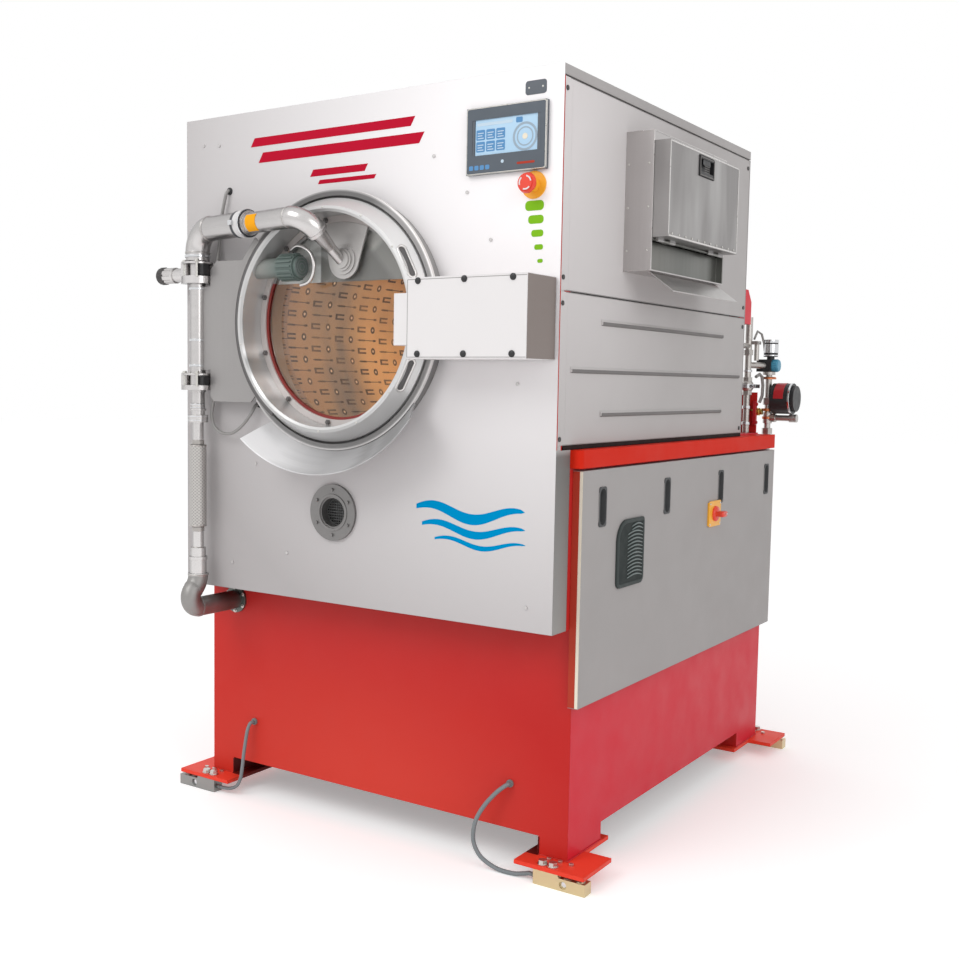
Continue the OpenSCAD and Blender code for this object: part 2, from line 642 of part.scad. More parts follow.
// Detergent dispenser on the right side
disp_x1 = hw + disp_out;
disp_back = -70;
lid_z0 = disp_z0 + 93;
lid_z1 = disp_z1 - 29;
lid_y0 = disp_y0 + 5;
lid_y1 = lid_y0 + disp_lid_w;
module dispenser_box() color(steel) from_front() {
    difference() {
        box(hw, disp_x1, disp_y0, disp_y0 + disp_w, disp_z0, disp_z1);
        box(hw - 1, disp_x1 - 2, disp_y0 + 2, disp_y0 + disp_w - 2, disp_z0 + 2, disp_z1 - 2);
        box(hw, disp_x1 + 1, lid_y0 + 24, lid_y1 - 24, lid_z0 + 40, lid_z1 - 24);
        box(disp_x1 - 22, disp_x1 + 1, disp_y0 + 6, disp_y0 + disp_w - 6, disp_z0 + 4, lid_z0 - 8);
    }
    difference() {
        box(hw + disp_back, hw, disp_y0 + 22, disp_y0 + disp_w - 22, disp_z0 + 22, disp_z1 - 22);
        box(hw + disp_back + 2, hw + 1, disp_y0 + 24, disp_y0 + disp_w - 24, disp_z0 + 24, disp_z1 - 24);
    }
    box(disp_x1 - 24, disp_x1 - 22, disp_y0 + 2, disp_y0 + disp_w - 2, disp_z0 + 2, lid_z0 - 6);
    for (i = [1:3]) box(hw + disp_back + 2, disp_x1 - 23, disp_y0 + i * disp_w / 4 - 1,
        disp_y0 + i * disp_w / 4 + 1, disp_z0 + 24, lid_z0 + 100);
    translate([disp_x1 - 22, disp_y0 + disp_w - 24, disp_z0 + 4]) rotate([90, 0, 0])
        linear_extrude(disp_w - 48) polygon([[0, 0], [3, 0], [83, -60], [81, -63], [0, -2]]);
    for (y = [lid_y0 + 60, lid_y1 - 100]) {
        rod_y(lid_hinge_x, lid_hinge_z, 5, y, y + 40);
        box(disp_x1 - 2, lid_hinge_x, y, y + 40, lid_hinge_z - 5, lid_hinge_z);
    }
    rod_y(lid_hinge_x, lid_hinge_z, 2, lid_y0 + 20, lid_y1 - 20);
}
lid_hinge_x = disp_x1 + 6;
lid_hinge_z = lid_z0 - 6;
lid_knuckles = [lid_y0 + 20, lid_y0 + 100.5, lid_y1 - 140.5, lid_y1 - 60];
module dispenser_lid() color(steel) from_front() {
    difference() {
        box(disp_x1 + fit, disp_x1 + disp_lid_t, lid_y0, lid_y1, lid_z0, lid_z1);
        box(disp_x1 - 1, disp_x1 + disp_lid_t - 2, lid_y0 + 2, lid_y1 - 2, lid_z0 + 2, lid_z1 - 2);
        box(disp_x1, disp_x1 + disp_lid_t + 1, latch_y0, latch_y0 + 116, latch_z0, latch_z0 + 62);
        rod_y(latch_pin_x, latch_pin_z, 2.05, latch_y0 - 7, latch_y0 + 123);
    }
    for (y = [latch_y0 - 8, latch_y0 + 116]) difference() {
        box(latch_pin_x - 6, disp_x1 + disp_lid_t, y, y + 8, latch_z0 + 48, latch_z0 + 66);
        rod_y(latch_pin_x, latch_pin_z, 2.05, y - 1, y + 9);
    }
    for (y = lid_knuckles) difference() {
        union() {
            rod_y(lid_hinge_x, lid_hinge_z, 5, y, y + 39.5);
            box(lid_hinge_x - 5, lid_hinge_x + 5, y, y + 39.5, lid_hinge_z, lid_z0 + 1);
        }
        rod_y(lid_hinge_x, lid_hinge_z, 2.05, y - 1, y + 41);
    }
}
latch_y0 = lid_y0 + 208;
latch_z0 = lid_z1 - 70;
latch_pin_x = disp_x1 + disp_lid_t - 3;
latch_pin_z = latch_z0 + 56;
module dispenser_latch() color(dark) from_front() {
    difference() {
        box(disp_x1 + disp_lid_t - 14, disp_x1 + disp_lid_t + 3, latch_y0 + 1, latch_y0 + 115,
            latch_z0 + 1, latch_z0 + 59);
        box(disp_x1 + disp_lid_t - 9, disp_x1 + disp_lid_t + 4, latch_y0 + 9, latch_y0 + 107,
            latch_z0 + 14, latch_z0 + 51);
    }
    box(disp_x1 + disp_lid_t - 10, disp_x1 + disp_lid_t + 1, latch_y0 + 30, latch_y0 + 86,
        latch_z0 + 36, latch_z0 + 52);
    for (y = [latch_y0 - 6, latch_y0 + 114]) rod_y(latch_pin_x, latch_pin_z, 2, y, y + 8);
}

// Inlet fittings behind the casing: a riser behind the base and one on the deck
inlet_x = 668;
inlet_y = 1692;
inlet_low = 1000;
riser_x = 618;
riser_y = 1600;
module inlet_pipes() color([0.78, 0.76, 0.73]) from_front() {
    rod_z(inlet_x, inlet_y, 12, inlet_low, 1432);
    translate([inlet_x, inlet_y, 1316]) cylinder(r = 20, h = 26, $fn = 6);
    translate([inlet_x, inlet_y, 1206]) cylinder(r = 20, h = 22, $fn = 6);
    rod_z(inlet_x, inlet_y, 17, 1246, 1288);
    rod_x(inlet_y, 1267, 16, inlet_x, inlet_x + 32);
    rod_x(inlet_y, 1267, 11, inlet_x, inlet_x + 112);
    rod_x(inlet_y, 1267, 15, inlet_x + 84, inlet_x + 112);
    rod_z(inlet_x, inlet_y, 23, 1428, 1440);
    box(inlet_x - 14, inlet_x + 14, base_y1 + 4, inlet_y, 1170, 1190);
    rod_z(riser_x, riser_y, 12, rim_top - 60, 1556);
    rod_z(riser_x, riser_y, 13, 1556, 1640);
    rod_z(riser_x + 24, riser_y + 20, 9, 1480, 1553);
    box(riser_x - 4, riser_x + 36, riser_y - 6, riser_y + 32, 1540, 1552);
    translate([riser_x, riser_y, 1385]) sphere(r = 24);
    for (z = [1352, 1398, 1500]) translate([riser_x, riser_y, z]) cylinder(r = 18, h = 20, $fn = 6);
    rod_y(riser_x, 1534, 10, casing_d, riser_y);
    difference() {
        pipe([riser_x, riser_y, 1463], [inlet_x - 13, inlet_y - 22, 1463], 12);
        box(inlet_x - 60, inlet_x + 30, inlet_y - 28.2, inlet_y, 1440, 1486);
    }
}
// Valve body with its cup above and the round drive beside the riser
module inlet_valve() color(dark) from_front() {
    box(inlet_x - 40, inlet_x + 14, inlet_y - 28, inlet_y + 28, 1440.3, 1486);
    rod_x(inlet_y, 1463, 21, inlet_x + 10, inlet_x + 36);
    rod_z(inlet_x + 4, inlet_y, 26, 1496, 1556);
    rod_z(inlet_x + 4, inlet_y, 14, 1480, 1500);
    rod_x(inlet_y - 4, 1340, 57, inlet_x + 24, inlet_x + 98);
    rod_x(inlet_y - 4, 1340, 48, inlet_x + 95, inlet_x + 110);
    box(inlet_x + 12.3, inlet_x + 30, inlet_y - 16, inlet_y + 10, 1350, 1376);
}

// Tub, in which the drum turns
tub_y0 = 136;
tub_y1 = tub_y0 + drum_d + 85;
tub_t = 5;
module tub() color([0.74, 0.75, 0.76]) from_front() difference() {
    rod_y(door_x, door_z, tub_r, tub_y0, tub_y1);
    rod_y(door_x, door_z, tub_r - tub_t, tub_y0 + tub_t, tub_y1 - 12);
    rod_y(door_x, door_z, collar_r - 10 + fit, tub_y0 - 1, tub_y0 + tub_t + 1);
    rod_y(door_x, door_z, shaft_r + 8, tub_y1 - 13, tub_y1 + 1);
    rod_z(drain_x, drain_y, drain_r - 3, door_z - tub_r - 5, door_z - tub_r + 120);
}

// Perforated drum with three lifting ribs
drum_y0 = tub_y0 + 28;
drum_y1 = drum_y0 + drum_d;
drum_mouth = collar_bore + 6;
module drum() color([0.80, 0.56, 0.38]) from_front() {
    difference() {
        rod_y(door_x, door_z, drum_r, drum_y0, drum_y1);
        rod_y(door_x, door_z, drum_r - 4, drum_y0 + 5, drum_y1 - 12);
        rod_y(door_x, door_z, drum_mouth, drum_y0 - 1, drum_y0 + 6);
        rod_y(door_x, door_z, shaft_r + fit, drum_y1 - 13, drum_y1 + 1);
    }
    for (a = [30, 150, 270]) translate([door_x, 0, door_z]) rotate([0, -a, 0])
        translate([0, drum_y1 - 12.5, 0]) rotate([90, 0, 0]) linear_extrude(drum_d - 18)
            polygon([[drum_r - 3.5, -60], [drum_r - 110, -14], [drum_r - 110, 14], [drum_r - 3.5, 60]]);
}

// Shaft with its flange on the drum
housing_y0 = tub_y1;
housing_y1 = housing_y0 + 96;
pulley_y0 = housing_y1 + 8;
pulley_y1 = pulley_y0 + 50;
module drum_shaft() color([0.65, 0.65, 0.66]) from_front() {
    rod_y(door_x, door_z, shaft_r, drum_y1 - 12, pulley_y1 + 6);
    rod_y(door_x, door_z, shaft_r + 60, drum_y1 + 0.1, drum_y1 + 14);
}
bearing_w = 26;
bearing_ro = shaft_r + 35;
bearing_y = [housing_y0 + 10, housing_y1 - 10 - bearing_w];
module bearings() color([0.55, 0.56, 0.58]) from_front() for (y = bearing_y)
    tube_y(door_x, door_z, bearing_ro, shaft_r + 0.05, y, y + bearing_w);
module bearing_housing() color([0.35, 0.36, 0.38]) from_front() difference() {
    union() {
        rod_y(door_x, door_z, bearing_ro + 90, housing_y0, housing_y0 + 16);
        rod_y(door_x, door_z, bearing_ro + 18, housing_y0, housing_y1);
        for (a = [0:45:315]) translate([door_x, 0, door_z]) rotate([0, a, 0])
            box(bearing_ro, bearing_ro + 85, housing_y0 + 10, housing_y0 + 60, -6, 6);
    }
    rod_y(door_x, door_z, bearing_ro + fit, housing_y0 + 10 - fit, housing_y0 + 10 + fit + bearing_w);
    rod_y(door_x, door_z, bearing_ro + fit, housing_y1 - 10 - fit - bearing_w, housing_y1 + 1);
    rod_y(door_x, door_z, shaft_r + 6, housing_y0 - 1, housing_y1 + 1);
}

// Large pulley with three belt grooves
groove_pitch = 15;
module grooves(r) {
    for (i = [0:2]) translate([0, 0, 10 + i * groove_pitch]) rotate_extrude($fn = 96)
        translate([r - 9, 0]) polygon([[0, -3], [10, -5.5], [10, 5.5], [0, 3]]);
}
module drum_pulley() color([0.30, 0.31, 0.33]) from_front() translate([door_x, pulley_y0, door_z])
    rotate([-90, 0, 0]) difference() {
        union() {
            difference() {
                cylinder(r = pulley_r, h = 50);
                translate([0, 0, -1]) cylinder(r = pulley_r - 28, h = 52);
            }
            cylinder(r = 75, h = 50);
            for (a = [0:60:300]) rotate([0, 0, a]) translate([60, -16, 18]) cube([pulley_r - 80, 32, 14]);
        }
        translate([0, 0, -1]) cylinder(r = shaft_r + fit, h = 52);
        grooves(pulley_r);
    }
motor_x = door_x;
module motor_pulley() color([0.30, 0.31, 0.33]) from_front() translate([motor_x, pulley_y0, motor_z])
    rotate([-90, 0, 0]) {
        difference() {
            cylinder(r = motor_pulley_r, h = 50);
            grooves(motor_pulley_r);
        }
        translate([0, 0, -50]) cylinder(r = 21, h = 51);
    }
// Three belts round both pulleys, each an outline of points along its two arcs
belt_span = door_z - motor_z;
belt_lean = asin((pulley_r - motor_pulley_r) / belt_span);
function arc_pts(c, r, from, sweep, n) =
    [for (i = [0:n]) [r * cos(from + sweep * i / n), c + r * sin(from + sweep * i / n)]];
function belt_pts(grow) = concat(
    arc_pts(0, motor_pulley_r + grow, 180 + belt_lean, 180 - 2 * belt_lean, 18),
    arc_pts(belt_span, pulley_r + grow, -belt_lean, 180 + 2 * belt_lean, 40));
module drive_belts() color([0.10, 0.10, 0.10]) from_front() for (i = [0:2])
    translate([door_x, pulley_y0 + 10 + i * groove_pitch + 3.2, motor_z]) rotate([90, 0, 0]) difference() {
        linear_extrude(6.4) polygon(belt_pts(1.5));
        translate([0, 0, -1]) linear_extrude(8.4) polygon(belt_pts(-6.5));
    }

// Motor on its cross platform
motor_r = 108;
motor_y0 = pulley_y0 - 370;
module motor() color([0.25, 0.33, 0.40]) from_front() {
    difference() {
        union() {
            rod_y(motor_x, motor_z, motor_r, motor_y0, pulley_y0 - 26);
            rod_y(motor_x, motor_z, motor_r - 12, motor_y0 - 40, motor_y0);
            for (a = [0:20:340]) translate([motor_x, 0, motor_z]) rotate([0, a, 0])
                box(motor_r - 2, motor_r + 8, motor_y0 + 12, pulley_y0 - 46, -2, 2);
            box(motor_x - 90, motor_x + 90, motor_y0 + 20, pulley_y0 - 60, motor_z - motor_r - 14,
                motor_z - motor_r + 40);
        }
        rod_y(motor_x, motor_z, 21.5, pulley_y0 - 60, pulley_y0);
    }
    box(-hw + base_sheet, hw - base_sheet, motor_y0 - 20, pulley_y0 - 20,
        motor_z - motor_r - 26, motor_z - motor_r - 14);
    box(-hw + base_sheet, hw - base_sheet, motor_y0 - 20, motor_y0 - 8,
        motor_z - motor_r - 66, motor_z - motor_r - 20);
}

// Drain from the tub bottom through a valve to the back
drain_x = 140;
drain_y = 420;
drain_r = 57;
drain_z = 470;
module drain_line() color([0.55, 0.56, 0.57]) from_front() {
    difference() {
        union() {
            rod_z(drain_x, drain_y, drain_r, drain_z + 90, door_z - tub_r + 60);
            rod_z(drain_x, drain_y, drain_r + 26, drain_z + 330, drain_z + 344);
            rod_z(drain_x, drain_y, drain_r + 26, drain_z + 150, drain_z + 164);
            rod_z(drain_x, drain_y, drain_r + 18, drain_z + 160, drain_z + 334);
        }
        rod_y(door_x, door_z, tub_r + fit, drain_y - 200, drain_y + 200);
        rod_z(drain_x, drain_y, drain_r - 4, drain_z + 95, door_z);
    }
    rod_x(drain_y, drain_z + 245, 48, drain_x + 60, drain_x + 190);
    bend([drain_x, drain_y, drain_z + 90], [0, 0, -1], [0, 1, 0], 90, drain_r);
    difference() {
        union() {
            rod_y(drain_x, drain_z, drain_r, drain_y + 90, base_y1 + 2);
            rod_y(drain_x, drain_z, drain_r + 18, base_y1 + 0.3, base_y1 + 10);
            rod_y(drain_x, drain_z, drain_r - 2, base_y1 + 9, base_y1 + 70);
        }
        rod_y(drain_x, drain_z, drain_r - 8, drain_y + 200, base_y1 + 71);
    }
}

// Door ring: flat front rim, cylindrical inner wall and a flange for the glass
module door_ring() color(steel) from_front() difference() {
    door_turn([[ring_bore, -ring_out + 4], [ring_bore + 8, -ring_out], [ring_bore + 16, -ring_out],
        [ring_r, -52], [ring_r, -38], [ring_r - 13, -38], [ring_r - 13, 12], [glass_r, 12],
        [glass_r, 2], [ring_bore, 2]]);
    for (s = [20, -36]) door_turn([[ring_bore + 20, -ring_out - 1], [ring_bore + 31, -ring_out - 1],
        [ring_bore + 31, -66], [ring_bore + 20, -66]], from = s, sweep = 16);
}
clamp_mid = (ring_bore + glass_r + 3) / 2;
module glass_clamp_ring() color(steel) from_front() {
    ring_y(ring_bore - fit, glass_r + 3, -14, -8.2);
    for (i = [0:door_bolts - 1]) {
        a = 165 + i * 360 / door_bolts;
        x = door_x + clamp_mid * cos(a);
        z = door_z + clamp_mid * sin(a);
        rod_y(x, z, 5, -24, -14);
        translate([x, -14, z]) rotate([90, 0, 0]) cylinder(r = 8.5, h = 6, $fn = 6);
    }
}
module glass_seal() color([0.72, 0.22, 0.18]) from_front() difference() {
    ring_y(ring_bore - fit, glass_r - 5, -8, 1.8);
    rod_y(door_x, door_z, glass_r + 15, -3 - glass_t / 2, -3 + glass_t / 2);
}
nozzle_x = door_x + 17;
nozzle_z = door_z + 178;
module door_glass() color([0.75, 0.82, 0.85, 0.35]) from_front() difference() {
    rod_y(door_x, door_z, glass_r + 14.7, -2.7 - glass_t / 2, -3.3 + glass_t / 2);
    rod_y(nozzle_x, nozzle_z, 34, -20, 20);
}
// Segment of plate behind the upper part of the glass
module splash_shield() color([0.42, 0.43, 0.44]) from_front() difference() {
    rod_y(door_x, door_z, glass_r + 30, 12, 15);
    box(door_x - 400, door_x + 400, 11, 16, door_z - 400, door_z + 118);
    rod_y(nozzle_x, nozzle_z, 34, 11, 16);
}

// Plate between the hinge tube and the door ring
module hinge_plate() color(steel) from_front() difference() {
    translate([0, -hinge_out + 5, 0]) rotate([90, 0, 0]) linear_extrude(6) polygon([
        [hinge_x + 71, door_z - 243], [hinge_x + 226, door_z - 243], [hinge_x + 300, door_z - 160],
        [hinge_x + 300, door_z + 200], [hinge_x + 243, door_z + 255], [hinge_x + 190, door_z + 190],
        [hinge_x + 82, door_z + 192], [hinge_x + 56, door_z + 166], [hinge_x + 56, door_z + 115],
        [hinge_x + 10, door_z + 115], [hinge_x + 10, door_z - 145], [hinge_x + 56, door_z - 145],
        [hinge_x + 56, door_z - 226]]);
    rod_y(door_x, door_z, ring_r + fit, -200, 0);
    rod_z(hinge_x, -hinge_out, post_r + fit, door_z - 300, door_z + 300);
}

// Spray pipe: hinge tube, upper elbow, arm, second elbow and nozzle tube
arm_turn = 10.9;
arm_d = [cos(arm_turn), -sin(arm_turn), 0];
tip_d = unit([0.15, 0.773, -0.633]);
elbow_bend = 70;
tip_bend = 60;
post_top = [hinge_x, -hinge_out, arm_z - elbow_bend];
arm_p = bend_end(post_top, [0, 0, 1], arm_d, elbow_bend);
arm_len = 398;
arm_q = arm_p + arm_len * arm_d;
tip_p = bend_end(arm_q, arm_d, tip_d, tip_bend);
nozzle_face = -15;
tip_len = (nozzle_face - tip_p[1]) / tip_d[1];
tip_q = tip_p + tip_len * tip_d;
tip_r = 16;
clamp_at = 206;
module spray_pipe() color(steel) from_front() {
    rod_z(hinge_x, -hinge_out, post_r, union_top + 36, post_top[2] - 12);
    rod_z(hinge_x, -hinge_out, 21.5, union_top + 0.5, union_top + 40);
    rod_z(hinge_x, -hinge_out, elbow_r - 0.8, bracket_levels[0][3] + 4, post_top[2] + 1);
    rod_z(hinge_x, -hinge_out, elbow_r + 1, post_top[2] - 3, post_top[2] + 3);
    bend(post_top, [0, 0, 1], arm_d, elbow_bend, elbow_r);
    pipe(arm_p - 3 * arm_d, arm_p + 3 * arm_d, elbow_r + 1);
    pipe(arm_p - 1 * arm_d, arm_p + clamp_at * arm_d, elbow_r - 0.8);
    pipe(arm_p + (clamp_at - 12) * arm_d, arm_q + 1 * arm_d, arm_r - 0.6);
    pipe(arm_q - 3 * arm_d, arm_q + 3 * arm_d, arm_r + 1);
    bend(arm_q, arm_d, tip_d, tip_bend, arm_r);
    pipe(tip_p - 4 * tip_d, tip_p + 6 * tip_d, arm_r + 2);
    pipe(tip_p, tip_q, tip_r);
    reducer(tip_p, tip_p + 0.55 * tip_len * tip_d, 25, tip_r + 0.6);
}
// Plate and boss that take the nozzle tube through the glass
module spray_nozzle() color([0.66, 0.66, 0.66]) from_front() difference() {
    nozzle_parts();
    pipe(tip_p, tip_q + 0.4 * tip_d, tip_r + fit);
}
module nozzle_parts() {
    difference() {
        translate([0, -14.2, 0]) rotate([-90, 0, 0]) linear_extrude(5.8) mirror([0, 1]) nozzle_outline();
        difference() {
            rod_y(door_x, door_z, 400, -16, 0);
            rod_y(door_x, door_z, glass_r + 2.5, -17, 1);
        }
    }
    rod_y(nozzle_x, nozzle_z, 43, -19, -13);
    rod_y(nozzle_x, nozzle_z, 33, -24, -13);
    rod_y(nozzle_x, nozzle_z, 26, -28, -13);
    rod_y(nozzle_x, nozzle_z, 30, -10, 40);
    translate([nozzle_x, 70, nozzle_z]) rotate([90, 0, 0]) cylinder(r1 = 14, r2 = 30, h = 30.5);
}
module nozzle_outline() {
    translate([nozzle_x, nozzle_z]) circle(r = 55);
    polygon([[nozzle_x - 54, nozzle_z - 10], [nozzle_x + 54, nozzle_z - 10], [nozzle_x + 100, nozzle_z + 130],
        [nozzle_x - 82, nozzle_z + 130]]);
}

// Lamp on the inner wall of the ring, with its strap
lamp_z = door_z + 160;
lamp_y = -54;
lamp_x = door_x - 172;
module door_lamp() color([0.36, 0.42, 0.40]) from_front() {
    intersection() {
        rod_x(lamp_y, lamp_z, 30, lamp_x - 140, lamp_x);
        rod_y(door_x, door_z, ring_bore - fit, -200, 20);
    }
    rod_x(lamp_y, lamp_z, 37, lamp_x - 10, lamp_x + 54);
    for (a = [0:20:340]) translate([0, lamp_y, lamp_z]) rotate([a, 0, 0])
        box(lamp_x - 8, lamp_x + 50, 34, 41, -3, 3);
    rod_x(lamp_y, lamp_z, 31, lamp_x + 54, lamp_x + 64);
}

// Rubber band and hose clip on the spray arm
module pipe_clamp() color(dark) from_front() difference() {
    pipe(arm_p + (clamp_at - 50) * arm_d, arm_p + (clamp_at - 4) * arm_d, elbow_r + 2.5);
    pipe(arm_p + (clamp_at - 52) * arm_d, arm_p + (clamp_at - 2) * arm_d, elbow_r - 0.8 + fit);
}

// Lock housing that rides on the door
tab_x0 = 260;
plug_x = [338, 484, 630];
plug_z = [lock_z0 + 13, lock_z1 - 9];
module lock_housing() color(panel_white) from_front() {
    difference() {
        box(lock_x0, lock_x1, -lock_out, -4, lock_z0, lock_z1);
        box(lock_x0 + sheet, lock_x1 - sheet, -lock_out + sheet, -3, lock_z0 + sheet, lock_z1 - sheet);
        rod_y(door_x, door_z, ring_r + fit, -ring_out - 2, 0);
        rod_y(door_x, door_z, collar_r + 8, -60, 0);
    }
    box(tab_x0, lock_x0 + 2, -lock_out, -lock_out + sheet, door_z - 76, door_z + 59);
    box(tab_x0, tab_x0 + sheet, -lock_out, -ring_out - 2.2, door_z - 76, door_z + 59);
    difference() {
        box(lock_bolt_x - 30, lock_bolt_x + 30, -110, -20, lock_bolt_z - 30, lock_bolt_z + 30);
        rod_y(lock_bolt_x, lock_bolt_z, 14.05, -111, 0);
    }
    box(lock_bolt_x - 30, lock_bolt_x + 30, -lock_out + sheet, -109, lock_bolt_z - 6, lock_bolt_z + 6);
    box(tab_x0, lock_x0 + 60, -lock_out, -ring_out - 0.2, lock_z0 + 40, lock_z0 + 46);
    box(tab_x0, lock_x0 + 60, -lock_out, -ring_out - 0.2, lock_z1 - 46, lock_z1 - 40);
    for (x = plug_x, z = plug_z) rod_y(x, z, 7, -lock_out - 2, -lock_out);
}
module lock_bolt() color([0.7, 0.7, 0.72]) from_front() {
    rod_y(lock_bolt_x, lock_bolt_z, 14, -100, -6);
}

// Removable service panel of the base, with its vent, grips and switch plate
svc_x0 = hw + fit;
svc_x1 = hw + rim_out;
svc_y0 = base_y0 - 23;
svc_y1 = base_y1 + 3;
svc_top = rim_low - 7;
grip_y = [218, 662, 1112, 1570];
grip_w = 44;
vent_y0 = 311;
vent_y1 = 491;
vent_z0 = 801;
vent_z1 = 996;
switch_y = 1054;
switch_z = 958;
module slot(y, w, z0, z1, x0, x1) {
    box(x0, x1, y - w / 2, y + w / 2, z0 + w / 2, z1 - w / 2);
    for (z = [z0 + w / 2, z1 - w / 2]) rod_x(y, z, w / 2, x0, x1);
}
module vent_shape(x0, x1, g) {
    rod_x(vent_y0 + 62, vent_z1 - 62, 62 - g, x0, x1);
    box(x0, x1, vent_y0 + g, vent_y1 - g, vent_z0 + 20, vent_z1 - 62);
    box(x0, x1, vent_y0 + 62, vent_y1 - g, vent_z1 - 63, vent_z1 - g);
    box(x0, x1, vent_y0 + 20, vent_y1 - 20, vent_z0 + g, vent_z0 + 21);
    rod_x(vent_y0 + 20, vent_z0 + 20, 20 - g, x0, x1);
    rod_x(vent_y1 - 20, vent_z0 + 20, 20 - g, x0, x1);
}
module service_panel() color(sheet_grey) from_front() {
    difference() {
        box(svc_x0, svc_x1, svc_y0, svc_y1, svc_low, svc_top);
        box(svc_x0 - 1, svc_x1 - 3, svc_y0 + 3, svc_y1 - 3, svc_low + 3, svc_top - 3);
        for (y = grip_y) slot(y, grip_w, svc_top - 50 - grip_h, svc_top - 50, svc_x1 - 4, svc_x1 + 1);
        vent_shape(svc_x1 - 4, svc_x1 + 1, 2);
        rod_x(switch_y, switch_z, 12, svc_x1 - 4, svc_x1 + 1);
    }
    for (y = grip_y) grip_cup(y);
    vent_insert();
    difference() {
        box(svc_x1, svc_x1 + 5, switch_y - 52, switch_y + 52, switch_z - 42, switch_z + 42);
        rod_x(switch_y, switch_z, 12, svc_x1 - 4, svc_x1 + 6);
    }
    difference() {
        rod_x(switch_y, switch_z, 22, svc_x1 - 26, svc_x1 - 3);
        rod_x(switch_y, switch_z, 12, svc_x1 - 14, svc_x1 - 2);
    }
}
module grip_cup(y) {
    difference() {
        slot(y, grip_w + 6, svc_top - 53 - grip_h, svc_top - 47, svc_x1 - 20, svc_x1 + 1.5);
        slot(y, grip_w - 6, svc_top - 47 - grip_h, svc_top - 53, svc_x1 - 17, svc_x1 + 3);
    }
}
module vent_insert() {
    difference() {
        union() {
            vent_shape(svc_x1 - 3.5, svc_x1 + 5, 2.3);
            vent_shape(svc_x1, svc_x1 + 5, 0);
        }
        for (i = [0:12]) box(svc_x1 - 5, svc_x1 + 6, vent_y0 + 54, vent_y1 - 8, vent_z0 + 26 + i * 9.4,
            vent_z0 + 30 + i * 9.4);
    }
}
module switch_knob() color([0.90, 0.30, 0.20]) from_front() {
    rod_x(switch_y, switch_z, 11.95, svc_x1 - 13, svc_x1 + 6);
    rod_x(switch_y, switch_z, 26, svc_x1 + 5.3, svc_x1 + 18);
    box(svc_x1 + 17, svc_x1 + 42, switch_y - 8, switch_y + 8, switch_z - 26, switch_z + 26);
}

base_cabinet();
base_rim();
foot_plates();
foot_bolts();
load_cells();
cable_glands();
load_cable_left();
load_cable_right();
casing_frame();
front_panel();
side_panel_upper();
side_panel_lower();
side_panel_left();
rear_panel();
top_cover();
rear_deck();
panel_screws();
door_collar();
door_seal();
drip_apron();
hinge_brackets();
side_stub();
supply_pipe();
pipe_sleeve();
thin_hose();
sample_port();
lock_keeper();
touch_panel_frame();
touch_panel_screen();
stop_button_base();
dispenser_box();
inlet_pipes();
inlet_valve();
tub();
bearing_housing();
bearings();
motor();
drain_line();
door_ring();
glass_clamp_ring();
glass_seal();
door_glass();
splash_shield();
hinge_plate();
spray_pipe();
spray_nozzle();
door_lamp();
pipe_clamp();
lock_housing();
lock_bolt();
drum();
drum_shaft();
drum_pulley();
motor_pulley();
drive_belts();
stop_button();
dispenser_lid();
dispenser_latch();
service_panel();
switch_knob();
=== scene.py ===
from math import cos, degrees, hypot, pi, radians, sin, sqrt
import bpy
import bmesh
from mathutils import Matrix, Vector


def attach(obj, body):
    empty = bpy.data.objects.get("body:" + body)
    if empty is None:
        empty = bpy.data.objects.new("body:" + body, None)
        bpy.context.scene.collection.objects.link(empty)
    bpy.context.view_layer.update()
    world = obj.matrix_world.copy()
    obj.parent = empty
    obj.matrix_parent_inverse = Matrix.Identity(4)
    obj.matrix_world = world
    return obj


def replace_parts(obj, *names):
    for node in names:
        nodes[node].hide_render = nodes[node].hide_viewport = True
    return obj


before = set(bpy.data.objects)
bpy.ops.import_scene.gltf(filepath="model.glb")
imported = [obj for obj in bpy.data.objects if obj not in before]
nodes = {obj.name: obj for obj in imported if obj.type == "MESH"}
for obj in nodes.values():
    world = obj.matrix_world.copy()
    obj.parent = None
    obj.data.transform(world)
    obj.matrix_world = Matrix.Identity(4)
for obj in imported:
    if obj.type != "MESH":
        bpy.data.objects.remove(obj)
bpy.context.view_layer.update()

# Lengths of pieces are millimetres from the foot of the front panel's face, in its middle
FRONT_Y = -893.5
# Centre of the door
DX, DZ = -42.0, 1555.0
DOOR_SHIFT = (-DX / 1000, 0, -DZ / 1000)
FRONT, BACK, LEFT, RIGHT, UP = (0, -1, 0), (0, 1, 0), (-1, 0, 0), (1, 0, 0), (0, 0, 1)
# Upright post of the door hinge, and the spray arm that leans away from its top
POST_X, POST_Y = -576, -57
ARM_LEAN = radians(10.9)
ARM_WAY = Vector((cos(ARM_LEAN), -sin(ARM_LEAN), 0))
ARM_START = Vector((POST_X, POST_Y, 1775)) + Vector((0, 0, 70)) + ARM_WAY * 70


def P(x, y, z):
    """Millimetres from the front panel's face to metres in the row frame."""
    return Vector((x / 1000, (y + FRONT_Y) / 1000, z / 1000))


def rgb(r, g, b):
    """An sRGB colour of 0 to 255 as linear values."""
    out = []
    for c in (r, g, b):
        c = c / 255
        out.append(c / 12.92 if c <= 0.04045 else ((c + 0.055) / 1.055) ** 2.4)
    return (*out, 1)


def place(name, data):
    """Puts an object with this data in the scene."""
    made = bpy.data.objects.new(name, data)
    scene.collection.objects.link(made)
    return made


